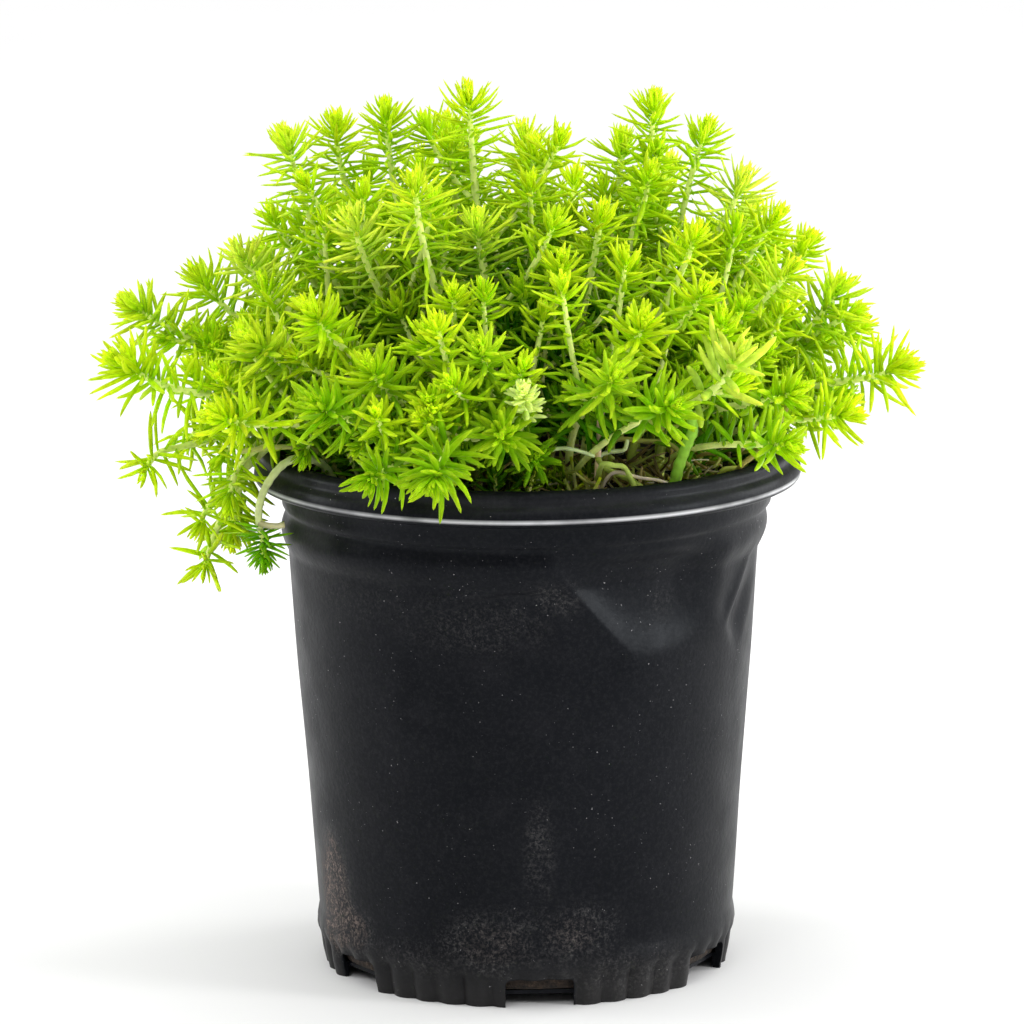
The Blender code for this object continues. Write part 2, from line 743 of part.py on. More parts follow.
class Stem:
    """One leafy stem, with its side shoot where it has one, as one closed mesh."""

    def __init__(self, number, group, hole):
        self.name = f"leafy_stem_{number:02d}"
        self.group = group
        self.hole = hole
        self.bm = bmesh.new()
        self.shoots = []

    def lay(self, part, foot, controls, radius, beads):
        """A shoot along a curve whose middle is moved aside until it is clear of everything."""
        start, rise, reach, end = controls
        along = (end - start).normalized()
        aside = along.orthogonal().normalized()
        fork = part == MAIN and len(self.group) > 1
        longest = OVER_STEP if end.z < LIP_TOP + OVER_LIP else BARE_STEP
        for step in range(PUSHES):
            turned = Quaternion(along, step * GOLDEN_ANGLE) @ aside
            push = turned * PUSH_STEP * math.sqrt(step)
            curve = (start, rise + push, reach + push, end)
            line = [*foot, *(bezier(curve, share / CURVE_STEPS) for share in range(CURVE_STEPS + 1))]
            storeys = storeys_along(line_length(line), part, fork, longest)
            shoot = Shoot(self.name, part, line, storeys, radius)
            if not beads.touched_by(shoot.beads) and clear_of_pot(bead for bead in shoot.beads if bead.free):
                beads.add(shoot.beads)
                self.shoots.append(shoot)
                return shoot
        raise ValueError(f"no way through for {self.name}")

    def raise_main(self, beads):
        """The main shoot: straight up out of its hole, then in a curve to its tip."""
        tip, heading = self.group[0]
        foot = Vector((self.hole.x, self.hole.y, STEM_FOOT))
        start = Vector((self.hole.x, self.hole.y, STRAIGHT_TO))
        span = (tip - start).length
        controls = (start, start + UP * span * RISE_SHARE, tip - heading * span * REACH_SHARE, tip)
        if tip.z < LIP_TOP + OVER_LIP:
            controls = (start, start + UP * OVER_RISE, tip - heading * OVER_REACH + UP * OVER_LIP, tip)
        self.lay(MAIN, [foot], controls, STEM_RADIUS, beads).skin(self.bm)

    def raise_side(self, beads):
        """The side shoot grows from the fork's face that looks most towards its tip."""
        tip, heading = self.group[1]
        main = self.shoots[0]
        storey = [leaves for _, leaves, _ in main.storeys].index(FORK)
        faces = main.openings[storey]
        root = max(faces, key=lambda face: normal_of(face).dot(tip - centre_of(face)))
        faces.remove(root)
        middle = centre_of(root)
        span = (tip - middle).length
        leave = (normal_of(root) + main.tangents[storey]).normalized()
        controls = (middle, middle + leave * span * REACH_SHARE, tip - heading * span * REACH_SHARE, tip)
        self.lay(SIDE, [], controls, TIP_RADIUS, beads).skin(self.bm, root)

    def grow_tips(self, beads):
        """The last leaf of each shoot, straight on from its end."""
        for shoot in self.shoots:
            middle = centre_of(shoot.top)
            axis = shoot.tangents[-1]
            line = (middle, middle + axis * TIP_LEAF * LEAF_BELLY, middle + axis * TIP_LEAF)
            beads.add(leaf_beads(self.name, (shoot.part, "tip"), line))
            grow_leaf(self.bm, shoot.top, line)

    def leaf_storey(self, shoot, level, beads):
        """The leaves of the storey so many below the tip, or plain faces where it has none."""
        number = len(shoot.storeys) - level
        _, leaves, full = shoot.storeys[number]
        down = min((shoot.stations[-1] - shoot.stations[number]) / LEAFY_LENGTH, 1.0)
        lean = LEAF_LEANS[1] + down**LEAN_POWER * (LEAF_LEANS[0] - LEAF_LEANS[1])
        length = LEAF_LENGTHS[1] + down**LENGTH_POWER * (LEAF_LENGTHS[0] - LEAF_LENGTHS[1])
        for corner, root in enumerate(shoot.openings[number]):
            if leaves < 1 or (leaves == 2 and corner == number % 3):
                self.bm.faces.new(root)
                continue
            part = (shoot.part, number, corner)
            try_leaf(self.bm, self.name, part, root, shoot.tangents[number], lean, length, full, beads)


def leaf_all(stems, beads):
    """Grow all leaves, the topmost storey of every shoot first, so that each tip is full."""
    for stem in stems:
        stem.grow_tips(beads)
    shoots = [(stem, shoot) for stem in stems for shoot in stem.shoots]
    for level in range(1, max(len(shoot.storeys) for _, shoot in shoots) + 1):
        for stem, shoot in shoots:
            if level <= len(shoot.storeys):
                stem.leaf_storey(shoot, level, beads)


def build_stems(material):
    """All leafy stems, as objects, and the holes that they stand in."""
    beads = Beads()
    holes = []
    stems = []
    for number, group in enumerate(paired_tips(), start=1):
        holes.append(free_hole(group[0][0], holes))
        stems.append(Stem(number, group, holes[-1]))
    for stem in stems:
        stem.raise_main(beads)
    for stem in stems:
        if len(stem.group) > 1:
            stem.raise_side(beads)
    leaf_all(stems, beads)
    for stem in stems:
        make_object(stem.name, stem.bm, material)
    return holes


def main():
    clear_scene()
    plastic = make_material("black_pot_plastic", (0.018, 0.018, 0.021), 0.5)
    soil = make_material("potting_mix", (0.030, 0.020, 0.013), 0.95)
    leaf = make_material("sedum_leaf", (0.46, 0.62, 0.035), 0.42)
    build_pot(plastic)
    holes = build_stems(leaf)
    build_soil(holes, soil)


main()
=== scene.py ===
"""The looks of a potted sedum: fine foliage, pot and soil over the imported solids, in metres with +Z up.

The stems follow the same plan as the solids, so each fine stem stands where its solid does.
"""

import math
import random
from collections import namedtuple

import bmesh
import bpy
import numpy as np
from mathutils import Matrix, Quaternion, Vector, noise


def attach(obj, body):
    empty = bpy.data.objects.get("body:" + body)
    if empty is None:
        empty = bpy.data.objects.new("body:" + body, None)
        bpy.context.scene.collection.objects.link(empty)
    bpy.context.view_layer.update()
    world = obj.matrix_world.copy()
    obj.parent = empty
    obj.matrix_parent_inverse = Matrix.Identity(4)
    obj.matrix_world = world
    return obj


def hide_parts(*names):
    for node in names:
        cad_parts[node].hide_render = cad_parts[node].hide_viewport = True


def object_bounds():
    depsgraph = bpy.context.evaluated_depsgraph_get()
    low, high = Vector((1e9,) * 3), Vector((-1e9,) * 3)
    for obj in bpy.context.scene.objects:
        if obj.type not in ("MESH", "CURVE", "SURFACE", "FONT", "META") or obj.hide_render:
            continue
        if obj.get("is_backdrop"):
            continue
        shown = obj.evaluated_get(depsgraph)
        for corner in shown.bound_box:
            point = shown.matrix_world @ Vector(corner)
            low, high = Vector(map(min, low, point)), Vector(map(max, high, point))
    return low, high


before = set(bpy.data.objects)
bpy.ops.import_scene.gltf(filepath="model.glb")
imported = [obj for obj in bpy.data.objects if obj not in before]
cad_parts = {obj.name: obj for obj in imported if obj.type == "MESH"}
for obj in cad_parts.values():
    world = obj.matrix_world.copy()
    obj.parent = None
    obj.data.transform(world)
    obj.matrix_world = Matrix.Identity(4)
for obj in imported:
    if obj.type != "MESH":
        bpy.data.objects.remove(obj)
cad_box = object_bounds()

UP = Vector((0.0, 0.0, 1.0))
GOLDEN_ANGLE = math.pi * (3.0 - math.sqrt(5.0))

# The photograph's viewpoint
CAMERA_PLACE = (0.0, -1.9495, 0.5225)
CAMERA_AIM = (-0.0033, 0.0, 0.1387)
CAMERA_ROLL = math.radians(-0.5)
CAMERA_LENS = 230.3
CAMERA_SENSOR = 36.0
CAMERA_REACH = 50.0

# The pot, as in the solids: wall, floor, tapered body and a neck that sits a little off its axis
WALL = 0.0012
FLOOR_UNDER = 0.0035
FLOOR_TOP = 0.0047
FLOOR_RADIUS = 0.06
FOOT_INNER_RADIUS = 0.059
BODY_LOW = (0.0632, 0.018)
BODY_HIGH = (0.0713, 0.129)
RIM_SHIFT = 0.0014
RIM_SHIFT_FROM = 0.13
RIM_SHIFT_TO = 0.15
FOOT = ((0.0614, 0.0), (0.0624, 0.0045), (0.063, 0.009))
FOOT_EDGE = ((0.064, 0.0125),)
SHOULDER = ((0.0733, 0.1335), (0.0737, 0.137), (0.0728, 0.141), (0.0741, 0.143), (0.0755, 0.149))
LIP = (
    (0.0812, 0.1497), (0.0828, 0.1515), (0.0822, 0.1545), (0.0806, 0.1562), (0.0804, 0.1586), (0.0788, 0.16),
    (0.0768, 0.159),
)
THROAT = ((0.0745, 0.149), (0.0716, 0.141))
SOLID_BODY_ROWS = 7

# The fine pot: columns round it, rows up its wall, and the shape of its foot
POT_COLUMNS = 300
LOW_ROWS = 20
HIGH_ROWS = 50
ROWS_SPLIT = 0.078
CORNER_CUTS = 3
NECK_STEPS = 4
INNER_EVERY = 3
FLUTES = 45
FLUTE_DEPTH = 0.0018
FLUTE_FADE = (0.0075, 0.0145)
NOTCHES = 6
NOTCH_TURN = math.radians(-90.0 + 3.6)
NOTCH_WIDTH = 0.0205
NOTCH_HEIGHT = 0.0087
NOTCH_CORNER = 0.0016
CORNER_STEPS = 4
NOTCH_INNER = 0.058
NOTCH_OUTER = 0.068
WOBBLE = 0.00035
WOBBLE_SCALE = 26.0
WOBBLE_HEIGHT = 0.07
FLUTE_SHARPNESS = 0.8
SHARP_ANGLE = math.radians(38.0)

# The dent at the upper right: its edges as (start, end, drop width, softness), places as (degrees, height)
DENT_EDGES = (
    ((8.0, 0.1325), (27.0, 0.1065), 0.0068, 0.0004),
    ((27.0, 0.1065), (54.0, 0.111), 0.008, 0.003),
)
DENT_DEPTH = 0.0056
DENT_FROM = -10.0
DENT_END = (58.0, 40.0)
DENT_FOLD = (0.001, 0.005)
DENT_FOLD_START = (-0.004, 0.006)
DENT_FOLD_END = 0.006

# The buckle at the right as (low end, high end, facet depth, facet width, far side depth, far width)
BUCKLE = ((60.0, 0.1125), (73.5, 0.132), 0.002, 0.007, 0.001, 0.004)
BUCKLE_RETURN = 1.1
BUCKLE_SOFTNESS = 0.0005
BUCKLE_FADE = 0.005
BUCKLE_FADE_SHARE = 0.4
BUCKLE_REACH = 0.06
DENTS_FROM = 0.088

# A shallow hollow under an arch, as its edge's points (degrees, height), depth and fall
ARCH = ((-29.5, 0.109), (-27.0, 0.1166), (-22.4, 0.1214), (-15.7, 0.1262), (-5.1, 0.1285), (6.0, 0.129))
ARCH_DEPTH = 0.0024
ARCH_EDGE = 0.0024
ARCH_FALL = 0.03
ARCH_START_FADE = 4.0
ARCH_END_FADE = 6.0
ARCH_SOFT_SHARE = 0.3

# Dust on the pot as (degrees, height, half width, half height, amount)
DUST = (
    (-66.0, 0.027, 0.0105, 0.016, 3.2),
    (-57.0, 0.018, 0.011, 0.007, 1.6),
    (-30.0, 0.014, 0.02, 0.006, 0.35),
    (-9.0, 0.02, 0.017, 0.009, 0.75),
    (12.0, 0.023, 0.015, 0.008, 0.75),
    (3.5, 0.047, 0.0045, 0.014, 0.5),
    (30.0, 0.008, 0.03, 0.008, 0.4),
    (-12.0, 0.119, 0.022, 0.009, 0.32),
    (8.0, 0.126, 0.007, 0.005, 0.55),
    (-45.0, 0.124, 0.02, 0.008, 0.22),
    (38.0, 0.122, 0.005, 0.005, 0.3),
    (160.0, 0.03, 0.02, 0.018, 0.45),
    (115.0, 0.06, 0.012, 0.03, 0.35),
    (-130.0, 0.1, 0.022, 0.02, 0.35),
)
DUST_FALL = 0.7

# A grey film of dirt over the foot, strongest at its bottom
FOOT_FILM = 0.42
FOOT_FILM_TO = 0.02

# Painted highlight along the lip's outer edge and, faintly, on its roll
LIP_HIGHLIGHT_EDGE = 0.0003
LIP_HIGHLIGHT_ROLL = 0.003
LIP_HIGHLIGHT_ROLL_SHARE = 0.021

# The soil
SOIL_GAP = 0.0004
SOIL_EDGE_HEIGHT = 0.15
SOIL_MOUND = 0.0045
SOIL_BUMP = 0.0011
SOIL_WAVE_ALONG = 190.0
SOIL_WAVE_ACROSS = 160.0
SOIL_WAVE_SLANTED = 310.0
SOIL_SLANTED_SHARE = 0.6
SOIL_COLUMNS = 120
SOIL_TOP_RINGS = 34
SOIL_SIDE_ROWS = 10
SOIL_ROUGHNESS = 0.0011
SOIL_GRAIN_SCALES = (260.0, 620.0)
SOIL_FINE_SHARE = 0.6
SOIL_SIDE_SHARE = 0.3
SOIL_SIDE_STRETCH = 9.0
CRUMBS = 620
CRUMB_EDGE = 0.004
CRUMB_SIZES = (0.0006, 0.0019)
CRUMB_STRETCHES = ((0.6, 1.8), (0.5, 1.0), (0.35, 0.8))
CRUMB_SUNK = 0.4
CRUMB_ROUGHNESS = 0.35
CRUMB_ROUGH_SCALE = 1.7
DEEPEST_DENT = 0.006

# The plan of the stems, as in the solids
HOLE_FLOOR = 0.141
HOLE_SPACING = 0.0078
HOLE_SEARCH = 900
HOLE_SEARCH_STEP = 0.00078
BED_RADIUS = 0.064
STEM_RADIUS = 0.0015
TIP_RADIUS = 0.0011
STEM_FOOT = HOLE_FLOOR + 0.0003
STRAIGHT_TO = 0.159
BARE_STEP = 0.023
OVER_STEP = 0.01
FORK_HEIGHT = 0.0032
FORK_SHARE = 0.5
MAIN_STOREYS = (*[0.0048] * 3, *[0.0042] * 3, *[0.0036] * 3, 0.0032, 0.0028, 0.0024)
SIDE_STOREYS = (*[0.0044] * 2, *[0.0036] * 2, 0.003, 0.0024)
MAIN = "main"
SIDE = "side"
LEAST_BARE = {MAIN: 0.022, SIDE: 0.005}
FOOT_SHARE = 0.52
RISE_SHARE = 0.38
REACH_SHARE = 0.36
OVER_LIP = 0.012
OVER_RISE = 0.03
OVER_REACH = 0.036
CURVE_STEPS = 60
TANGENT_STEP = 0.002
CLEARANCE = 0.00035
BEAD_STEP = 0.0016
BOUNDS = {MAIN: STRAIGHT_TO - STEM_FOOT, SIDE: 0.006}
PUSHES = 90
PUSH_STEP = 0.0022

# Middles of the tip rosettes seen from the front as (x, y, z, degrees that they point above level)
FRONT_TIPS = (
    (-0.07, 0.005, 0.252, 76), (-0.056, 0.018, 0.255, 84), (-0.04, 0.005, 0.26, 88),
    (-0.015, -0.006, 0.266, 88), (-0.031, -0.045, 0.245, 80), (0.004, 0.005, 0.249, 88),
    (0.031, 0.02, 0.248, 85), (0.04, 0.0, 0.263, 88), (0.056, 0.012, 0.253, 70), (0.068, 0.006, 0.24, 66),
    (0.078, -0.004, 0.23, 52), (0.097, -0.005, 0.21, 62), (0.081, -0.036, 0.219, 48),
    (0.1175, -0.015, 0.186, 22), (0.106, 0.02, 0.194, 35), (-0.114, -0.004, 0.203, 50),
    (-0.117, -0.031, 0.19, 36), (-0.113, -0.02, 0.163, 14), (-0.097, -0.028, 0.146, -28),
    (-0.0955, -0.018, 0.129, -66), (-0.0885, -0.002, 0.131, -80), (-0.098, 0.01, 0.211, 55),
    (-0.085, -0.006, 0.221, 60), (-0.076, 0.025, 0.228, 64), (-0.062, -0.06, 0.211, 48),
    (-0.08, -0.045, 0.2, 40), (-0.044, -0.08, 0.198, 50), (-0.06, -0.082, 0.187, 26),
    (-0.028, -0.071, 0.206, 58), (-0.012, -0.083, 0.204, 46), (-0.006, -0.094, 0.18, 14),
    (-0.026, -0.104, 0.168, -8), (-0.045, -0.092, 0.165, -16), (0.036, -0.073, 0.21, 54),
    (0.027, -0.088, 0.196, 34), (0.044, -0.089, 0.187, 18), (0.063, -0.076, 0.2, 58),
    (0.012, -0.052, 0.224, 66), (0.082, -0.058, 0.186, 24), (0.101, -0.032, 0.174, 10),
    (-0.05, -0.03, 0.234, 74), (0.024, -0.032, 0.236, 78), (0.052, -0.042, 0.231, 68),
    (-0.013, -0.034, 0.234, 80), (-0.09, -0.062, 0.18, 20), (0.079, -0.072, 0.172, 6),
)

# The rosettes of the back, spread over a dome by a rule
ROSETTE_DEPTH = 0.004
BACK_TIPS = 32
BACK_FROM = 0.01
DOME_RADIUS = 0.1077
DOME_MIDDLE = 0.168
DOME_RISE = 0.09
DOME_LOWEST = -0.06
DOME_TRIES = 2000
DOME_CHANCE = (0.94, 1.03)
DOME_STEP_UP = 0.754878
DOME_STEP_ROUND = 0.56984
DOME_EDGE_DEGREES = 6.0
DOME_TOP_DEGREES = 86.0
TIP_SPACING = 0.0235
STEM_NODES = 53
SEED = 11
STEM_SEEDS = 1000 * SEED
LIP_TOP = 0.16
NEAR_LIP = 0.164

# Fine leaves: their size and thickness, and how they change down a shoot from its tip
LEAF_WIDTH = 0.00182
LEAF_WIDTH_SPREAD = (0.9, 1.1)
HEAD_WIDTH = 0.66
WIDTH_GROWTH = 0.34
WIDTH_LOW = (0.185, 1.1)
WIDTH_HIGH = (0.24, 0.76)
LEAF_OVER = 0.24
LEAF_UNDER = 0.42
LEAF_LENGTH = 0.0122
LEAF_LENGTH_SPREAD = (0.76, 1.16)
TIP_LENGTH_SHARE = 0.42
LENGTH_FROM = -0.001
LENGTH_REACH = 0.006
FIRST_LEAN = math.radians(4.0)
FULL_LEAN = math.radians(82.0)
LEAN_REACH = 0.0027
LOW_LEAN = math.radians(10.0)
LOW_LEAN_SPAN = (0.008, 0.026)
LEAN_SPREAD = 0.18
SWAY_SPREAD = 0.19
HEAD_CURL = (0.5, 1.6)
LOW_CURL = (-1.1, 1.7)
CURL_SPAN = (0.003, 0.01)
CURL = math.radians(26.0)
FIRST_GAP_SHARE = 0.055
GAP_RISE = 42.0
GAP_SPREAD = (0.85, 1.15)
YAW_SPREAD = 0.1
LEAF_SUNK = 0.4
LEAF_LIFTS = (0.0, 0.4, 0.8)
LEAF_TESTS = (0.45, 0.75, 1.0)
LEAF_TEST_CURL = 0.6
LIFT_TO_LIGHT = 0.2

# Fine shoots: the steps along their lines, their sides, radii and knots
PATH_STEP = 0.0011
LEAST_STEPS = 4
LINE_CUTS = 8
STEM_SIDES = 6
TWIG_SIDES = 5
TUFT_SIDES = 4
SHOOT_RADII = (0.0012, 0.001)
SHOOT_END_RADIUS = 0.00055
SHOOT_TAPER = 4.0
KNOT_DEPTH = 0.05
KNOT_RATE = 2600.0

# How far shoots go past the solids' tips, and how crowded and long the leaves of the tall and outer ones are
TIP_EXTRA = 0.0022
TALL_EXTRA = 0.0042
TALL_FROM = 0.24
TALL_CROWDING = 0.8
SIDE_SHOOTS = 0.09
SIDE_LENGTH = 1.1
SIDE_FROM = 0.178
SIDE_CROWDING = 0.85
FAR_LEFT = -0.108
LEFT_EXTRA = 0.0065
FAR_RIGHT = 0.095
RIGHT_EXTRA = -0.0005

# Trailing shoots end in a star that faces the front: how far back it bends, its reach, steps, way and turn
STAR_BEND = 0.002
STAR_REACH = 0.0125
STAR_STEPS = 8
STAR_CUTS = 4
STAR_WAY = Vector((-0.16, -0.82, -0.5))
STAR_TURN = 0.42

# How shoots vary: the leafy part, its share of the shoot, and the leaves' lengths, widths, gaps, age and lean
LEAFY_RANGE = (0.05, 0.066)
LEAFY_SHARE = 0.75
SHOOT_LENGTHS = (0.86, 1.12)
SHOOT_WIDTHS = (0.92, 1.08)
SHOOT_GAPS = (0.00096, 0.00128)
SHOOT_AGES = (0.0, 0.01)
SHOOT_LEANS = (0.94, 1.08)

# Shoots at the front and low on the mound have the fullest leaves, and some shoots high up are paler than
# others; those low in the middle, by these heights and distances to the side, are darkened as painted shade
FRONT_SHOOTS = -0.03
LOW_SHOOTS = 0.215
SHOOT_PALENESS = (-0.35, 0.5)
PALE_FROM = (0.185, 0.225)
LOW_SHADE_TONE = 0.7
SHADE_TONE_HEIGHTS = (0.176, 0.214)
SHADE_TONE_SIDES = (0.092, 0.062)

# Stems that hang over the lip end below this height and left of this place
TRAILING_BELOW = 0.166
TRAILING_LEFT = -0.088
TRAILING_GROWTH = {
    "leafy": 0.034, "length": 0.0142, "width": 0.0019, "gap": 0.0029, "lean": math.radians(112.0),
    "age": 0.008,
}

# The pale shoot with thick leaves at the front right, by the middle of its rosette
THICK_TIP = (0.063, -0.076, 0.2)
THICK_REACH = 0.012
THICK_GROWTH = {
    "leafy": 0.024, "length": 0.0165, "width": 0.0029, "gap": 0.0032, "lean": math.radians(72.0),
    "age": -0.006, "pale": 0.55, "tone": 0.95,
}

# The small whitish rosette at the front, from its foot to its tip
WHITISH = ((-0.001, -0.07, 0.176), (0.001, -0.082, 0.184), (0.0005, -0.0905, 0.1925))
WHITISH_TONE = 0.35
WHITISH_COLOUR = (0.52, 0.6, 0.24)
WHITISH_RADIUS = 0.0009

# Bare stems behind the lip, each as its points, radius and colour
BARE_STEMS = (
    ((
        (0.044, -0.055, 0.15), (0.0446, -0.056, 0.1563), (0.046, -0.056, 0.163), (0.0486, -0.056, 0.1699),
        (0.0503, -0.056, 0.1741), (0.049, -0.056, 0.1785), (0.045, -0.0565, 0.1805),
    ), 0.0018, (0.34, 0.66, 0.07)),
    ((
        (0.0218, -0.057, 0.15), (0.022, -0.058, 0.1627), (0.0225, -0.058, 0.1702),
        (0.0229, -0.058, 0.1778), (0.0262, -0.056, 0.185),
    ), 0.0009, (0.76, 0.56, 0.4)),
    ((
        (0.004, -0.058, 0.152), (0.005, -0.061, 0.164), (0.0073, -0.062, 0.1686),
        (0.0114, -0.062, 0.1698), (0.0158, -0.062, 0.1692), (0.021, -0.059, 0.1668),
    ), 0.0007, (0.6, 0.72, 0.34)),
    ((
        (0.023, -0.044, 0.151), (0.0245, -0.045, 0.164), (0.0279, -0.045, 0.169),
        (0.0347, -0.045, 0.1687), (0.0442, -0.046, 0.1675), (0.05, -0.047, 0.16),
    ), 0.0008, (0.42, 0.42, 0.1)),
    ((
        (0.0222, -0.057, 0.1655), (0.0236, -0.055, 0.1667), (0.0271, -0.055, 0.1674),
        (0.0301, -0.055, 0.1679), (0.0309, -0.055, 0.1709),
    ), 0.0007, (0.66, 0.76, 0.4)),
    ((
        (0.022, -0.06, 0.155), (0.0264, -0.064, 0.1627), (0.0343, -0.064, 0.1612),
        (0.0422, -0.062, 0.1591), (0.047, -0.06, 0.153),
    ), 0.0006, (0.62, 0.52, 0.4)),
    ((
        (0.0222, -0.058, 0.166), (0.0241, -0.062, 0.1638), (0.0291, -0.062, 0.1614),
        (0.0344, -0.062, 0.1584), (0.037, -0.061, 0.154),
    ), 0.0009, (0.4, 0.5, 0.1)),
    ((
        (0.057, -0.033, 0.151), (0.0594, -0.034, 0.1572), (0.0632, -0.034, 0.158),
        (0.0655, -0.0335, 0.1576),
    ), 0.001, (0.64, 0.68, 0.14)),
    ((
        (0.022, -0.06, 0.16), (0.0234, -0.0655, 0.1655), (0.0269, -0.0655, 0.1652),
        (0.03, -0.065, 0.1643), (0.033, -0.064, 0.158),
    ), 0.0009, (0.44, 0.56, 0.12)),
    ((
        (-0.0262, -0.066, 0.15), (-0.0275, -0.068, 0.16), (-0.0262, -0.071, 0.169),
        (-0.024, -0.074, 0.174),
    ), 0.0009, (0.74, 0.84, 0.46)),
    ((
        (0.06, -0.04, 0.149), (0.064, -0.044, 0.16), (0.072, -0.05, 0.168), (0.078, -0.052, 0.18),
    ), 0.0009, (0.42, 0.36, 0.1)),
    ((
        (-0.054, -0.033, 0.15), (-0.0585, -0.037, 0.16), (-0.065, -0.0405, 0.1635),
        (-0.0708, -0.0435, 0.1622), (-0.076, -0.0455, 0.156), (-0.0782, -0.0465, 0.149),
        (-0.0779, -0.046, 0.143),
    ), 0.0013, (0.62, 0.7, 0.32)),
    ((
        (-0.05, -0.03, 0.15), (-0.06, -0.035, 0.164), (-0.072, -0.04, 0.1668), (-0.084, -0.043, 0.166),
    ), 0.0009, (0.5, 0.52, 0.16)),
)

# The cut stub at the left, in the same way, and the line of the tuft that hangs from the looping stem
STUB = (
    ((-0.0782, -0.0465, 0.1452), (-0.0745, -0.0475, 0.1444), (-0.0705, -0.048, 0.1448)),
    0.001, (0.62, 0.58, 0.34),
)
LOOP_TUFT = ((-0.0779, -0.046, 0.144), (-0.0773, -0.0462, 0.14), (-0.077, -0.0462, 0.1335))
LOOP_TUFT_RADIUS = 0.0008

# How bare stems are made: their sides, steps, knots, taper and browner foot
BARE_SIDES = 8
STRAND_SIDES = 5
BARE_PATH_STEP = 0.0009
BARE_KNOT_DEPTH = 0.07
BARE_KNOT_RATE = 1900.0
BARE_TAPER = 0.15
BARE_FOOT_BROWN = 0.35
BARE_FOOT = 0.008

# The clearing at the front right, which leaves keep out of
CLEARING_FROM = 0.012
CLEARING_TO = 0.072
CLEARING_BEHIND = -0.048
CLEARING_HIGH = 0.1735
CLEARING_LOW = 0.162
CLEARING_SLOPE = 0.02

# The bare soil there, which twigs and tufts keep out of: its sides, its back line and its height
BARE_SOIL_SIDES = (0.002, 0.074)
BARE_SOIL_BEHIND = -0.034
BARE_SOIL_TO = 0.181

# Litter in the clearing, heaped up a little
LITTER_MIDDLE = (0.036, -0.046)
LITTER_SPREAD = (0.028, 0.018)
LITTER_LEAVES = 230
LITTER_STRANDS = 52
LITTER_HEAP = 0.0085
LITTER_EDGE = 0.068
LITTER_LIFT = 0.0003
LITTER_HEAPING = 1.5
LITTER_LENGTHS = (0.006, 0.013)
LITTER_WIDTHS = (0.001, 0.0019)
LITTER_LEANS = (58.0, 92.0)
LITTER_CURLS = (-50.0, 60.0)
LITTER_SWAY = 0.3
LITTER_DARK = (0.05, 0.04, 0.02)
LITTER_DARKNESS = (0.0, 0.5)
LITTER_COLOURS = (
    (0.44, 0.34, 0.1), (0.32, 0.38, 0.05), (0.58, 0.42, 0.2), (0.14, 0.1, 0.04), (0.52, 0.55, 0.14),
)
STRAND_COLOUR = (0.7, 0.62, 0.4)
STRAND_TONES = (0.45, 1.1)
STRAND_RADII = (0.00022, 0.00055)
STRAND_LIFT = 0.0006
STRAND_HEAP = 0.6
STRAND_STEPS = 4
STRAND_STEP = (0.0022, 0.0052)
STRAND_TURN = 0.7
STRAND_RISE = 0.22
STRAND_EDGE = 0.07
STRAND_CLEAR = 0.0002

# Dull tufts in the clearing
DULL_TUFTS = 12
DULL_FROM = (-0.002, -0.069)
DULL_TO = (0.024, -0.05)
DULL_COLOUR = (0.05, 0.03, 0.0)
DULL_TONE = 0.55
DULL_LENGTHS = (0.009, 0.015)
DULL_LEAVES = (0.0055, 0.0085)
DULL_LEAF_WIDTH = 0.0011
DULL_LEAFY = 0.011
DULL_AGE = 0.06
DULL_LIFT = 0.0005
DULL_LEANS = ((0.0, 0.5), (-0.2, 0.4))

# Low tufts inside the lip
RIM_TUFTS = 34
RIM_TUFT_RADII = (0.055, 0.0665)
RIM_TUFT_FOOT = 0.149
RIM_TUFT_LENGTHS = (0.014, 0.024)
RIM_TUFT_LEANS = (0.1, 0.5)
RIM_TUFT_LEAFY = 0.85
RIM_TUFT_LEAVES = (0.65, 0.9)
RIM_TUFT_AGE = 0.035
RIM_TUFT_DROOP = -0.06
RIM_TUFT_RADIUS = 0.0008
EDGE_RADIUS = 0.8 * TIP_RADIUS

# Short shoots that fill the mound's edge where the photograph is fullest, from foot to tip
EDGE_SHOOTS = (
    ((-0.072, -0.02, 0.166), (-0.082, -0.026, 0.168), (-0.09, -0.03, 0.162)),
    ((-0.074, -0.03, 0.167), (-0.084, -0.036, 0.161), (-0.0875, -0.04, 0.15)),
    ((-0.075, -0.01, 0.172), (-0.086, -0.016, 0.172), (-0.0945, -0.022, 0.168)),
    ((-0.09, 0.0, 0.188), (-0.099, -0.004, 0.192), (-0.1075, -0.008, 0.194)),
    ((0.085, 0.0, 0.19), (0.093, -0.004, 0.196), (0.1, -0.006, 0.2)),
    ((0.002, -0.06, 0.163), (0.003, -0.068, 0.168), (0.004, -0.076, 0.17)),
)

# Inner shoots that fill the mound up to just under its surface
TWIG_FROM = 0.026
TWIG_EVERY = (0.012, 0.019)
TWIG_SHELL = (0.74, 0.98)
TWIG_LENGTHS = (0.01, 0.042)
TWIG_GROWING = 0.002
TWIG_START_SPREAD = 0.01
TWIG_STOP = 0.45
TWIG_FORWARD = 0.6
TWIG_OUTWARD = 5.0
TWIG_RADIUS = 0.00085
TWIG_STEPS = 8
TWIG_DROOP = 0.1
TWIG_LEAFY = 0.92
TWIG_OUTERMOST = 1.04
TWIG_LOWEST = 0.163
TWIG_LEAF_LENGTHS = (0.74, 1.0)
TWIG_LEAF_WIDTHS = (0.82, 1.0)
TWIG_GAPS = (0.0015, 0.0021)
TWIG_AGES = (0.002, 0.02)
TWIG_LEANS = (0.88, 1.0)

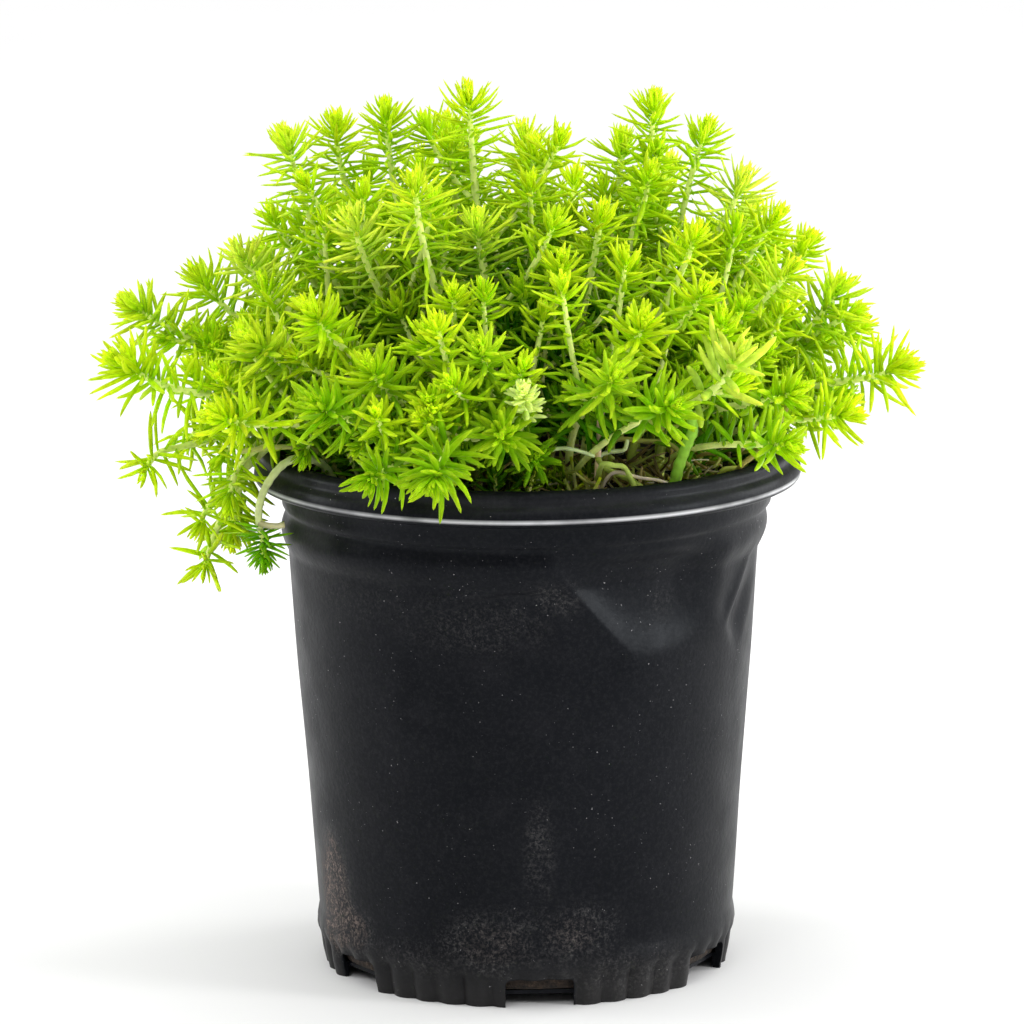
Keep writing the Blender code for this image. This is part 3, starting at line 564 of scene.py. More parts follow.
# Short tufts low in the mound
TUFT_EVERY = (0.0065, 0.011)
TUFT_TO = 0.205
TUFT_START_SHARE = 0.8
TUFT_START_SPREAD = 0.006
TUFT_STOP = 0.7
TUFT_FORWARD = 0.3
TUFT_LENGTHS = (0.006, 0.013)
TUFT_LEAVES = 0.8
TUFT_AGE = 0.03
TUFT_DROOP = 0.05
TUFT_RADIUS = 0.0007

# Leaf and stem colours, linear, and where along a leaf or a shoot they change. LEAF_LIGHT is the mean light
# of a leaf whose root and point have just the colours given here
YOUNG = (0.58, 0.76, 0.006)
FULL_GROWN = (0.45, 0.74, 0.004)
OLD = (0.23, 0.6, 0.002)
# Deep green of leaves inside the mound: partly their own deeper colour, partly painted shade
DEEP_AND_SHADED = (0.022, 0.22, 0.002)
PALE = (0.72, 0.82, 0.16)
LEAF_ROOT = (0.3, 0.62, 0.004)
LEAF_POINT = (0.76, 0.93, 0.035)
STEM_PALE = (0.88, 0.97, 0.33)
STEM_GREEN = (0.7, 0.85, 0.16)
STEM_BROWN = (0.2, 0.19, 0.06)
STEM_GREEN_SPAN = (0.8, 1.5)
STEM_BROWN_FROM = 1.6
STEM_BROWN_REST = 0.03
YOUNG_STEM = 0.006
ROOT_DEPTH = 0.55
ROOT_TO = 0.4
POINT_PALENESS = 0.45
POINT_SPAN = 0.6
POINT_START = 0.6
LEAF_LIGHT = 0.45
YOUNG_SPAN = (0.0, 0.022)
OLD_SPAN = (0.025, 0.075)
LEAF_TONES = (0.8, 1.18)
LEAF_WARMTH = (0.9, 1.12)

# Pot and soil colours, linear
BLACK_DEEP = (0.0022, 0.0026, 0.004)
BLACK_PALE = (0.0048, 0.0052, 0.007)
GRAIN_COLOUR = (0.13, 0.128, 0.135)
HAZE_COLOUR = (0.12, 0.115, 0.125)
FILM_COLOUR = (0.055, 0.052, 0.05)
DUST_THIN = (0.22, 0.21, 0.205)
DUST_THICK = (0.25, 0.195, 0.17)
DUST_ROUGHNESS = (0.85, 0.85, 0.85)
SPECK_COLOUR = (0.36, 0.35, 0.36)
# The pale colour of the painted highlight on the lip's outer edge and roll
LIP_HIGHLIGHT_COLOUR = (0.66, 0.66, 0.68)
SOIL_BROWNS = ((0.35, (0.007, 0.005, 0.004)), (0.55, (0.028, 0.017, 0.01)), (0.72, (0.075, 0.045, 0.026)))
PALE_GRAIN_COLOUR = (0.34, 0.3, 0.24)

# Where leaves are drawn to the deep green inside the mound, partly their own colour and partly painted shade:
# by their reach in the dome, and low down near the middle
INNER_SHADE_REACH = (0.82, 0.38)
INNER_SHADE_HEIGHTS = (0.202, 0.168)
INNER_SHADE_RADII = (0.094, 0.07)
INNER_SHADE_LOW = 0.85

# Lights as (name, place, aim, size, power), and the broad light overhead
AREA_LIGHTS = (
    ("key", (-0.7, -1.6, 1.5), (0.0, 0.0, 0.18), 0.9, 5.0),
    ("facet_light", (1.73, -0.63, 0.58), (0.0, 0.0, 0.13), 0.5, 17.0),
    ("left_strip", (-1.4, 0.35, 0.5), (0.0, 0.0, 0.12), 0.7, 7.5),
    ("right_strip", (1.4, 0.55, 0.5), (0.0, 0.0, 0.12), 0.7, 10.0),
)
OVERHEAD_WAY = (0.0, -0.09, -1.0)
OVERHEAD_POWER = 2.75
OVERHEAD_SPREAD = math.radians(110.0)
WORLD_STRENGTH = 0.25
FLOOR_SIZE = 9.0
FLOOR_CELLS = 8


def mix(first, second, share):
    return tuple(a + (b - a) * share for a, b in zip(first, second))


def smooth_step(value, low, high):
    share = min(max((value - low) / (high - low), 0.0), 1.0)
    return share * share * (3.0 - 2.0 * share)


def level_way(angle):
    """The level direction at an angle round the pot's axis."""
    return Vector((math.cos(angle), math.sin(angle), 0.0))


def rim_shift(height):
    """How far the soft neck and lip sit off the body's axis, along +X."""
    return RIM_SHIFT * smooth_step(height, RIM_SHIFT_FROM, RIM_SHIFT_TO)


def body_rows(rows):
    """Radius and height of evenly spaced rows of the tapered wall."""
    return [mix(BODY_LOW, BODY_HIGH, row / (rows - 1)) for row in range(rows)]


def soil_height(x, y):
    """The uneven top of the soil, a little higher in the middle."""
    reach = min(math.hypot(x, y) / THROAT[0][0], 1.0)
    bumps = math.sin(x * SOIL_WAVE_ALONG + 1.0) * math.cos(y * SOIL_WAVE_ACROSS)
    bumps += SOIL_SLANTED_SHARE * math.sin((x + y) * SOIL_WAVE_SLANTED)
    return SOIL_EDGE_HEIGHT + SOIL_MOUND * (1.0 - reach**2) + SOIL_BUMP * bumps * (1.0 - reach**4)


# The plan of the stems

POT_OUTLINE = [
    Vector(point)
    for point in (
        *FOOT_EDGE,
        *body_rows(SOLID_BODY_ROWS),
        *SHOULDER,
        *LIP,
        *THROAT,
        (BODY_HIGH[0] - WALL, BODY_HIGH[1]),
        (body_rows(SOLID_BODY_ROWS)[-2][0] - WALL, body_rows(SOLID_BODY_ROWS)[-2][1]),
    )
]

Bead = namedtuple("Bead", "stem part free place radius")


class Beads:
    """Beads strung along the stems in place, in a grid of small cells, to keep others clear of them."""

    CELL = 0.0045

    def __init__(self):
        self.cells = {}

    def key(self, place):
        return tuple(math.floor(part / self.CELL) for part in place)

    def add(self, beads):
        for bead in beads:
            self.cells.setdefault(self.key(bead.place), []).append(bead)

    def near(self, place):
        a, b, c = self.key(place)
        for i in (a - 1, a, a + 1):
            for j in (b - 1, b, b + 1):
                for k in (c - 1, c, c + 1):
                    yield from self.cells.get((i, j, k), ())

    def touched_by(self, beads):
        """Whether any of these beads comes too near to one in place."""
        for bead in beads:
            for other in self.near(bead.place):
                if other.stem == bead.stem and not may_meet(other, bead):
                    continue
                if (bead.place - other.place).length < bead.radius + other.radius + CLEARANCE:
                    return True
        return False


def may_meet(one, other):
    """Within one stem only different parts can meet, and only away from where they are joined."""
    return one.part != other.part and one.free and other.free


def pot_gap(place):
    """How far a point is from the pot's outline, seen as a turned shape."""
    point = Vector((math.hypot(place.x - rim_shift(place.z), place.y), place.z))
    nearest = 1.0
    for start, end in zip(POT_OUTLINE, POT_OUTLINE[1:]):
        run = end - start
        share = min(max((point - start).dot(run) / run.length_squared, 0.0), 1.0)
        nearest = min(nearest, (point - start - run * share).length)
    return nearest


def clear_of_pot(beads):
    """Whether beads stay clear of the pot's wall and lip, and above the soil."""
    for bead in beads:
        place = bead.place
        if place.z > NEAR_LIP:
            continue
        if pot_gap(place) < bead.radius + 2.0 * CLEARANCE:
            return False
        inside = math.hypot(place.x - rim_shift(place.z), place.y) < THROAT[0][0]
        if inside and place.z < soil_height(place.x, place.y) + bead.radius + 2.0 * CLEARANCE:
            return False
    return True


def heading_at(x, y, degrees):
    """The way a tip points: away from the pot's axis, and so far above level."""
    outward = Vector((x, y, 0.0)).normalized()
    rise = math.radians(degrees)
    return outward * math.cos(rise) + UP * math.sin(rise)


def back_tips():
    """Tips over the back of the dome, evenly spread with a little chance in them."""
    chance = random.Random(SEED)
    placed = [Vector(tip[:3]) for tip in FRONT_TIPS]
    found = []
    for step in range(1, DOME_TRIES):
        rise = DOME_LOWEST + (1.0 - DOME_LOWEST) * (step * DOME_STEP_UP % 1.0)
        angle = math.tau * (step * DOME_STEP_ROUND % 1.0)
        reach = DOME_RADIUS * math.sqrt(1.0 - rise * rise) * chance.uniform(*DOME_CHANCE)
        tip = Vector((reach * math.cos(angle), reach * math.sin(angle), DOME_MIDDLE + DOME_RISE * rise))
        if tip.y < BACK_FROM or min((tip - other).length for other in placed) < TIP_SPACING:
            continue
        placed.append(tip)
        found.append((*tip, DOME_EDGE_DEGREES + (DOME_TOP_DEGREES - DOME_EDGE_DEGREES) * rise))
        if len(found) == BACK_TIPS:
            break
    return found


def paired_tips():
    """Tips grouped into stems: the nearest pairs share one stem until few enough are left."""
    tips = []
    for x, y, z, degrees in (*FRONT_TIPS, *back_tips()):
        heading = heading_at(x, y, degrees)
        tips.append((Vector((x, y, z)) - heading * ROSETTE_DEPTH, heading))
    gaps = []
    for i, (first, _) in enumerate(tips):
        for j in range(i + 1, len(tips)):
            gaps.append(((first - tips[j][0]).length, i, j))
    partner = {}
    for _, i, j in sorted(gaps):
        if len(tips) - len(partner) // 2 <= STEM_NODES:
            break
        if i in partner or j in partner or min(tips[i][0].z, tips[j][0].z) < LIP_TOP:
            continue
        partner[i] = j
        partner[j] = i
    groups = []
    for i, tip in enumerate(tips):
        mate = partner.get(i)
        if mate is None:
            groups.append([tip])
        elif mate > i:
            groups.append(sorted([tip, tips[mate]], key=lambda one: -one[0].z))
    return groups


def free_hole(tip, taken):
    """The free place in the soil that is nearest to the one under half of a tip's reach."""
    wanted = Vector((tip.x, tip.y)) * FOOT_SHARE
    for step in range(HOLE_SEARCH):
        angle = step * GOLDEN_ANGLE
        reach = HOLE_SEARCH_STEP * math.sqrt(step)
        place = wanted + Vector((math.cos(angle), math.sin(angle))) * reach
        if place.length > BED_RADIUS:
            continue
        if all(max(abs(place.x - one.x), abs(place.y - one.y)) >= HOLE_SPACING for one in taken):
            return place
    raise ValueError("the soil has no room left for a stem")


def bezier(points, share):
    a, b, c, d = points
    rest = 1.0 - share
    return a * rest**3 + b * (3.0 * rest**2 * share) + c * (3.0 * rest * share**2) + d * share**3


def line_length(points):
    return sum((end - start).length for start, end in zip(points, points[1:]))


def resample(points, stations):
    """Places at the given rising lengths along a line of points."""
    places = []
    walked = 0.0
    wanted = list(stations)
    for start, end in zip(points, points[1:]):
        length = (end - start).length
        while wanted and wanted[0] <= walked + length:
            places.append(start.lerp(end, (wanted.pop(0) - walked) / length))
        walked += length
    return places + [points[-1].copy() for _ in wanted]


def string_beads(stem, part, places, radius, bound):
    """Beads along a stem; those nearer to its start than bound are joined to what it grows from."""
    length = line_length(places)
    count = max(int(length / BEAD_STEP), 2)
    stations = [length * step / (count - 1) for step in range(count)]
    spots = zip(stations, resample(places, stations))
    return [Bead(stem, part, station > bound, place, radius) for station, place in spots]


def bare_run(length, longest):
    steps = max(math.ceil(length / longest), 1)
    return [length / steps] * steps


def storeys_along(length, part, fork, longest):
    """Heights of the storeys of a solid shoot, and which one is the fork's."""
    leafy = list(MAIN_STOREYS if part == MAIN else SIDE_STOREYS)
    while length - sum(leafy) < LEAST_BARE[part]:
        leafy.pop(0)
    bare = length - sum(leafy)
    if not fork:
        return [*bare_run(bare, longest), *leafy], None
    below = bare_run(bare * FORK_SHARE, longest)
    above = bare_run(bare * (1.0 - FORK_SHARE) - FORK_HEIGHT, longest)
    return [*below, FORK_HEIGHT, *above, *leafy], len(below)


class Shoot:
    """The solid's run of three-sided rings along one shoot, and the curve that it follows."""

    def __init__(self, stem, part, line, storeys, radius):
        self.line = line
        stations = [0.0]
        for storey in storeys:
            stations.append(stations[-1] + storey)
        self.places = resample(line, stations)
        before = resample(line, [max(station - TANGENT_STEP, 0.0) for station in stations])
        after = resample(line, [station + TANGENT_STEP for station in stations])
        self.tangents = [(b - a).normalized() for a, b in zip(before, after)]
        self.radii = [radius + (TIP_RADIUS - radius) * station / stations[-1] for station in stations]
        self.beads = string_beads(stem, part, self.places, radius, BOUNDS[part])

    def faces_over(self, storey):
        """The three upward faces of a storey, which a side shoot or a leaf can grow from."""
        rings = []
        side = self.tangents[0].orthogonal()
        for place, tangent, radius in zip(self.places, self.tangents, self.radii):
            side = (side - tangent * side.dot(tangent)).normalized()
            if rings:
                side = Quaternion(tangent, math.radians(60.0)) @ side
            arms = [Quaternion(tangent, math.radians(120.0 * corner)) @ side for corner in range(3)]
            rings.append([place + arm * radius for arm in arms])
        low, high = rings[storey], rings[storey + 1]
        return [(low[corner], low[(corner + 1) % 3], high[corner]) for corner in range(3)]


def normal_of(corners):
    a, b, c = corners
    return (b - a).cross(c - a).normalized()


class Stem:
    """One planned stem, with its side shoot where it has one."""

    def __init__(self, number, group, hole):
        self.name = f"leafy_stem_{number:02d}"
        self.group = group
        self.hole = hole
        self.shoots = []

    def lay(self, part, foot, controls, radius, beads):
        """A shoot along a curve whose middle is moved aside until it is clear of everything."""
        start, rise, reach, end = controls
        along = (end - start).normalized()
        aside = along.orthogonal().normalized()
        fork = part == MAIN and len(self.group) > 1
        longest = OVER_STEP if end.z < LIP_TOP + OVER_LIP else BARE_STEP
        for step in range(PUSHES):
            turned = Quaternion(along, step * GOLDEN_ANGLE) @ aside
            push = turned * PUSH_STEP * math.sqrt(step)
            curve = (start, rise + push, reach + push, end)
            line = [*foot, *(bezier(curve, share / CURVE_STEPS) for share in range(CURVE_STEPS + 1))]
            storeys, self.fork = storeys_along(line_length(line), part, fork, longest)
            shoot = Shoot(self.name, part, line, storeys, radius)
            if not beads.touched_by(shoot.beads) and clear_of_pot(bead for bead in shoot.beads if bead.free):
                beads.add(shoot.beads)
                self.shoots.append(shoot)
                return
        raise ValueError(f"no way through for {self.name}")

    def raise_main(self, beads):
        """The main shoot: straight up out of its hole, then in a curve to its tip."""
        tip, heading = self.group[0]
        foot = Vector((self.hole.x, self.hole.y, STEM_FOOT))
        start = Vector((self.hole.x, self.hole.y, STRAIGHT_TO))
        span = (tip - start).length
        controls = (start, start + UP * span * RISE_SHARE, tip - heading * span * REACH_SHARE, tip)
        if tip.z < LIP_TOP + OVER_LIP:
            controls = (start, start + UP * OVER_RISE, tip - heading * OVER_REACH + UP * OVER_LIP, tip)
        self.lay(MAIN, [foot], controls, STEM_RADIUS, beads)

    def raise_side(self, beads):
        """The side shoot grows from the fork's face that looks most towards its tip."""
        tip, heading = self.group[1]
        main = self.shoots[0]
        storey = self.fork
        faces = [(sum(face, Vector()) / 3.0, normal_of(face)) for face in main.faces_over(storey)]
        middle, normal = max(faces, key=lambda face: face[1].dot(tip - face[0]))
        span = (tip - middle).length
        leave = (normal + main.tangents[storey]).normalized()
        controls = (middle, middle + leave * span * REACH_SHARE, tip - heading * span * REACH_SHARE, tip)
        self.lay(SIDE, [], controls, TIP_RADIUS, beads)


def plan_stems():
    """All stems with their shoots' curves, where the solids have them."""
    beads = Beads()
    holes = []
    stems = []
    for number, group in enumerate(paired_tips(), start=1):
        holes.append(free_hole(group[0][0], holes))
        stems.append(Stem(number, group, holes[-1]))
    for stem in stems:
        stem.raise_main(beads)
    for stem in stems:
        if len(stem.group) > 1:
            stem.raise_side(beads)
    return stems


# Meshes with a colour for each vertex


def link_object(name, data):
    """A new object in the scene."""
    holder = bpy.data.objects.new(name, data)
    bpy.context.scene.collection.objects.link(holder)
    return holder


def ring_faces(rings, sides):
    """The faces between rings of corners, which are numbered one ring after another."""
    faces = []
    for low in range(0, (rings - 1) * sides, sides):
        high = low + sides
        for corner in range(sides):
            after = (corner + 1) % sides
            faces.append((low + corner, low + after, high + after, high + corner))
    return faces


def closed_faces(rings, sides):
    """The same, closed by fans round two middle points that are numbered after the rings."""
    faces = ring_faces(rings, sides)
    last = (rings - 1) * sides
    under = rings * sides
    for corner in range(sides):
        after = (corner + 1) % sides
        faces.append((after, corner, under))
        faces.append((last + corner, last + after, under + 1))
    return faces


class Surface:
    """Vertices, faces and vertex colours, gathered for one piece."""

    def __init__(self):
        self.places = []
        self.faces = []
        self.colours = []
        self.count = 0

    def add(self, places, faces, colours):
        self.places.append(places)
        self.faces.extend([tuple(self.count + corner for corner in face) for face in faces])
        self.colours.append(colours)
        self.count += len(places)

    def take(self, other, tone, tint):
        """Take in another surface with its colours toned down and tinted."""
        for places, colours in zip(other.places, other.colours):
            self.places.append(places)
            self.colours.append(colours * tone + np.array(tint))
        self.faces += [tuple(self.count + corner for corner in face) for face in other.faces]
        self.count += other.count

    def make(self, name, material, replaced=()):
        """The piece: smooth, coloured, riding on the root and standing for the nodes that it replaces."""
        mesh = bpy.data.meshes.new(name)
        mesh.from_pydata(np.concatenate(self.places).tolist(), [], self.faces)
        tint = mesh.color_attributes.new("tint", "FLOAT_COLOR", "POINT")
        colours = np.concatenate(self.colours)
        tint.data.foreach_set("color", np.column_stack((colours, np.ones(len(colours)))).ravel())
        mesh.shade_smooth()
        mesh.materials.append(material)
        piece = link_object(name, mesh)
        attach(piece, "root")
        if replaced:
            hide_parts(*replaced)
        return piece


class Needle:
    """The form of a leaf: rings of a few sides at stations along it, and a point."""

    def __init__(self, sides, stations, outline):
        turns = np.arange(sides) * math.tau / sides - math.pi / 2.0
        rounds = np.sin(turns)
        self.sides = sides
        self.stations = np.array((*stations, 1.0))
        self.outline = np.array(outline)
        self.across = np.cos(turns) / np.cos(turns).max()
        self.thick = np.where(rounds > 0.0, LEAF_OVER, LEAF_UNDER) * 2.0 * rounds
        self.faces = self.make_faces(len(stations))
        self.root_share = np.clip(1.0 - self.stations / ROOT_TO, 0.0, 1.0)[:, None]
        self.point_share = np.clip(self.stations / POINT_SPAN - POINT_START, 0.0, 1.0)[:, None]

    def make_faces(self, rings):
        faces = ring_faces(rings, self.sides)
        last = (rings - 1) * self.sides
        for corner in range(self.sides):
            faces.append((last + corner, last + (corner + 1) % self.sides, last + self.sides))
        faces.append(tuple(reversed(range(self.sides))))
        return faces

    def places(self, leaf):
        """Rings along a line that bends towards the stem's axis, then the point."""
        axis = np.array(leaf.axis)
        outward = np.array(leaf.outward)
        side = np.cross(outward, axis)
        angles = leaf.lean - leaf.curl * self.stations
        tangents = np.outer(np.sin(angles), outward) + np.outer(np.cos(angles), axis)
        steps = np.diff(self.stations)[:, None] * 0.5 * (tangents[1:] + tangents[:-1])
        line = np.array(leaf.root) + leaf.length * np.vstack((np.zeros(3), np.cumsum(steps, axis=0)))
        line += np.outer(self.stations**2, side) * leaf.sway * leaf.length
        normals = np.cross(tangents, side)
        half = 0.5 * leaf.width * self.outline
        across = half[:, None, None] * self.across[None, :, None] * side
        thick = half[:, None, None] * self.thick[None, :, None] * normals[:-1, None, :]
        rings = line[:-1, None, :] + across + thick
        return np.vstack((rings.reshape(-1, 3), line[-1:]))

    def colours(self, colour):
        """Deeper green at the root and paler yellow at the point."""
        own = np.array(colour)

        def drawn(colours, target, share, most):
            return colours + (np.array(target) * own.mean() / LEAF_LIGHT - colours) * share * most

        colours = drawn(own, LEAF_ROOT, self.root_share, ROOT_DEPTH)
        colours = drawn(colours, LEAF_POINT, self.point_share, POINT_PALENESS)
        return np.vstack((np.repeat(colours[:-1], self.sides, axis=0), colours[-1:]))


FULL_NEEDLE = Needle(5, (0.0, 0.14, 0.4, 0.7, 0.92), (0.58, 0.86, 1.0, 0.88, 0.52))
LIGHT_NEEDLE = Needle(4, (0.0, 0.22, 0.58, 0.89), (0.58, 0.92, 1.0, 0.58))
PLAIN_NEEDLE = Needle(4, (0.0, 0.34, 0.8), (0.58, 1.0, 0.76))

Leaf = namedtuple("Leaf", "root axis outward length width lean curl sway colour")


class Path:
    """A smooth line with a side vector that doesn't twist along it."""

    def __init__(self, line, step=PATH_STEP):
        self.length = line_length(line)
        self.count = max(int(self.length / step), LEAST_STEPS)
        self.step = self.length / self.count
        self.places = resample(line, [self.step * number for number in range(self.count + 1)])
        ends = list(zip(self.places, self.places[1:]))
        self.tangents = [(b - a).normalized() for a, b in ends]
        self.tangents.append(self.tangents[-1])
        self.sides = []
        side = self.tangents[0].orthogonal()
        for tangent in self.tangents:
            side = (side - tangent * side.dot(tangent)).normalized()
            self.sides.append(side)

    def at(self, station):
        """Place, tangent and side at a length along the line."""
        number = min(max(int(round(station / self.step)), 0), self.count)
        return self.places[number], self.tangents[number], self.sides[number]


def add_tube(surface, path, radius_at, colour_at, sides=STEM_SIDES, every=2):
    """A closed tube along a path, its radius and colour given by the length along it."""
    numbers = [*range(0, path.count, every), path.count]
    turns = [math.tau * corner / sides for corner in range(sides)]
    places = []
    colours = []
    for number in numbers:
        station = number * path.step
        side = path.sides[number]
        other = path.tangents[number].cross(side)
        radius = radius_at(station)
        for turn in turns:
            places.append(path.places[number] + (side * math.cos(turn) + other * math.sin(turn)) * radius)
        colours += [colour_at(station)] * sides
    last = (len(numbers) - 1) * sides
    faces = [tuple(reversed(range(sides))), *ring_faces(len(numbers), sides)]
    faces.append(tuple(last + corner for corner in range(sides)))
    surface.add(np.array(places), faces, np.array(colours))


# Foliage

Growth = namedtuple("Growth", "leafy length width gap age lean form pale tone")
LOOP_TUFT_GROWTH = Growth(
    leafy=0.012, length=0.0084, width=0.0014, gap=0.0006, age=0.09, lean=math.radians(100.0),
    form=LIGHT_NEEDLE, pale=0.0, tone=0.72,
)
WHITISH_GROWTH = Growth(
    leafy=0.016, length=0.0062, width=0.0016, gap=0.0009, age=0.0, lean=math.radians(70.0),
    form=FULL_NEEDLE, pale=0.0, tone=1.0,
)


def leaf_colour(below, growth, inner, chance):
    """Yellowest at the tip, greener down the shoot, deeper inside the mound as partly painted shade, each
    leaf a little its own.
    """
    colour = mix(YOUNG, FULL_GROWN, smooth_step(below + growth.age, *YOUNG_SPAN))
    colour = mix(colour, OLD, smooth_step(below + growth.age, *OLD_SPAN))
    # The deep green inside the mound is partly painted shade
    colour = mix(mix(colour, PALE, growth.pale), DEEP_AND_SHADED, inner)
    tone = chance.uniform(*LEAF_TONES) * growth.tone
    warm = chance.uniform(*LEAF_WARMTH)
    return (colour[0] * tone * warm * growth.tone, colour[1] * tone, colour[2] * tone)


def shell_share(place):
    """How far out in the dome a point is: 0 at its middle, 1 on its surface."""
    across = math.hypot(place.x, place.y) / DOME_RADIUS
    return math.hypot(across, max(place.z - DOME_MIDDLE, 0.0) / DOME_RISE)


def inner_shade_share(place):
    """0 on the dome's surface and 1 deep inside the mound or low down in it, where leaves take a partly
    painted shade.
    """
    near_middle = smooth_step(math.hypot(place.x, place.y), *INNER_SHADE_RADII)
    low = smooth_step(place.z, *INNER_SHADE_HEIGHTS) * near_middle
    return max(smooth_step(shell_share(place), *INNER_SHADE_REACH), INNER_SHADE_LOW * low)


def clearing_top(x):
    """How high the front right stays free of leaves, lower towards the right."""
    share = smooth_step(x, CLEARING_TO - CLEARING_SLOPE, CLEARING_TO)
    return CLEARING_HIGH + (CLEARING_LOW - CLEARING_HIGH) * share


def leaf_fits(leaf):
    """Whether a leaf stays clear of the pot's lip and wall, above the soil and out of the clearing."""
    for share in LEAF_TESTS:
        angle = leaf.lean - leaf.curl * share * LEAF_TEST_CURL
        way = leaf.outward * math.sin(angle) + leaf.axis * math.cos(angle)
        place = leaf.root + way * leaf.length * share
        if place.y < CLEARING_BEHIND and CLEARING_FROM < place.x and place.z < clearing_top(place.x):
            return False
        if place.z > NEAR_LIP:
            continue
        if pot_gap(place) < leaf.width * 0.5:
            return False
        if math.hypot(place.x, place.y) < THROAT[0][0] and place.z < soil_height(place.x, place.y):
            return False
    return True


def dress(surface, chance, path, growth, radius):
    """Leaves in a spiral down a shoot: crowded, short and upright at its tip, then longer and spread wide."""
    form = growth.form
    below = 0.0
    yaw = chance.uniform(0.0, math.tau)
    while below < min(growth.leafy, path.length):
        place, tangent, side = path.at(path.length - below)
        outward = Quaternion(tangent, yaw) @ side
        outward = (outward + UP * LIFT_TO_LIGHT).normalized()
        outward = (outward - tangent * outward.dot(tangent)).normalized()
        grown = smooth_step(below, LENGTH_FROM, LENGTH_REACH)
        length = growth.length * (TIP_LENGTH_SHARE + (1.0 - TIP_LENGTH_SHARE) * grown)
        length *= chance.uniform(*LEAF_LENGTH_SPREAD)
        lean = FIRST_LEAN + (growth.lean - FIRST_LEAN) * (1.0 - math.exp(-below / LEAN_REACH))
        lean += LOW_LEAN * smooth_step(below, *LOW_LEAN_SPAN) + chance.gauss(0.0, LEAN_SPREAD)
        curl = chance.uniform(*mix(HEAD_CURL, LOW_CURL, smooth_step(below, *CURL_SPAN)))
        # The leaf darkens inside the mound as partly painted shade
        leaf = Leaf(
            root=place + outward * radius * LEAF_SUNK,
            axis=tangent,
            outward=outward,
            length=length,
            width=growth.width * (HEAD_WIDTH + WIDTH_GROWTH * grown) * chance.uniform(*LEAF_WIDTH_SPREAD),
            lean=lean,
            curl=CURL * curl,
            sway=chance.gauss(0.0, SWAY_SPREAD),
            colour=leaf_colour(below, growth, inner_shade_share(place), chance),
        )
        for lift in LEAF_LIFTS:
            lifted = leaf._replace(lean=leaf.lean - lift)
            if leaf_fits(lifted):
                surface.add(form.places(lifted), form.faces, form.colours(lifted.colour))
                break
        crowding = min(FIRST_GAP_SHARE + GAP_RISE * below, 1.0)
        below += growth.gap * crowding * chance.uniform(*GAP_SPREAD)
        yaw += GOLDEN_ANGLE + chance.gauss(0.0, YAW_SPREAD)


def stem_look(path, radius, leafy):
    """Radius and colour of a fleshy stem by the length along it: brown foot, green, pale among leaves."""
    length = path.length

    def radius_at(station):
        rest = max(length - station, 0.0) / length
        knots = 1.0 + KNOT_DEPTH * math.sin(station * KNOT_RATE)
        return (SHOOT_END_RADIUS + (radius - SHOOT_END_RADIUS) * min(rest * SHOOT_TAPER, 1.0) ** 0.5) * knots

    def colour_at(station):
        below = length - station
        colour = mix(STEM_PALE, STEM_GREEN, smooth_step(below, *(leafy * part for part in STEM_GREEN_SPAN)))
        brown = smooth_step(below, leafy * STEM_BROWN_FROM, length + STEM_BROWN_REST)
        colour = mix(colour, STEM_BROWN, brown)
        return mix(YOUNG, colour, smooth_step(below, 0.0, YOUNG_STEM))

    return radius_at, colour_at


def add_shoot(surface, chance, line, growth, radius, sides=STEM_SIDES):
    """A stem with its leaves, which gives back the path that it follows."""
    path = Path(line)
    radius_at, colour_at = stem_look(path, radius, growth.leafy)
    add_tube(surface, path, radius_at, colour_at, sides)
    dress(surface, chance, path, growth, radius)
    return path


def twig_line(place, heading, length, droop):
    """A short curve that sets off along a heading and turns up towards the light."""
    points = [place.copy()]
    turn = heading
    for _ in range(TWIG_STEPS):
        turn = (turn + UP * droop).normalized()
        points.append(points[-1] + turn * length / TWIG_STEPS)
    return points


def in_clearing(place):
    """The front right behind the lip, where the soil lies bare."""
    left, right = BARE_SOIL_SIDES
    return left < place.x < right and place.y < BARE_SOIL_BEHIND and place.z < BARE_SOIL_TO


def twig_growth(chance, length, form):
    """How a twig or a tuft grows, with leaves all along it."""
    return Growth(
        leafy=length,
        length=LEAF_LENGTH * chance.uniform(*TWIG_LEAF_LENGTHS),
        width=LEAF_WIDTH * chance.uniform(*TWIG_LEAF_WIDTHS),
        gap=chance.uniform(*TWIG_GAPS),
        age=chance.uniform(*TWIG_AGES),
        lean=FULL_LEAN * chance.uniform(*TWIG_LEANS),
        form=form,
        pale=0.0,
        tone=1.0,
    )


def add_twig(surface, chance, place, heading):
    """A side shoot that grows on until it is a little under the dome's surface."""
    wanted = chance.uniform(*TWIG_SHELL)
    length, longest = TWIG_LENGTHS
    while length < longest and shell_share(place + heading * length) < wanted:
        length += TWIG_GROWING
    end = place + heading * length
    if shell_share(end) > TWIG_OUTERMOST or in_clearing(end) or end.z < TWIG_LOWEST:
        return
    growth = twig_growth(chance, length * TWIG_LEAFY, LIGHT_NEEDLE)
    add_shoot(surface, chance, twig_line(place, heading, length, TWIG_DROOP), growth, TWIG_RADIUS, TWIG_SIDES)


def spots_along(chance, path, start, stop, every):
    """Places on a shoot with its tangent there and the way out, each turned on from the last."""
    station = start
    yaw = chance.uniform(0.0, math.tau)
    while station < stop:
        place, tangent, side = path.at(station)
        yield place, tangent, Quaternion(tangent, yaw) @ side
        station += chance.uniform(*every)
        yaw += GOLDEN_ANGLE


def add_twigs(surface, chance, path, leafy):
    """Side shoots that fill the mound around the lower part of a shoot."""
    start = TWIG_FROM + chance.uniform(0.0, TWIG_START_SPREAD)
    stop = path.length - leafy * TWIG_STOP
    for place, tangent, outward in spots_along(chance, path, start, stop, TWIG_EVERY):
        heading = outward + tangent * TWIG_FORWARD + Vector((place.x, place.y, 0.0)) * TWIG_OUTWARD
        add_twig(surface, chance, place, heading.normalized())


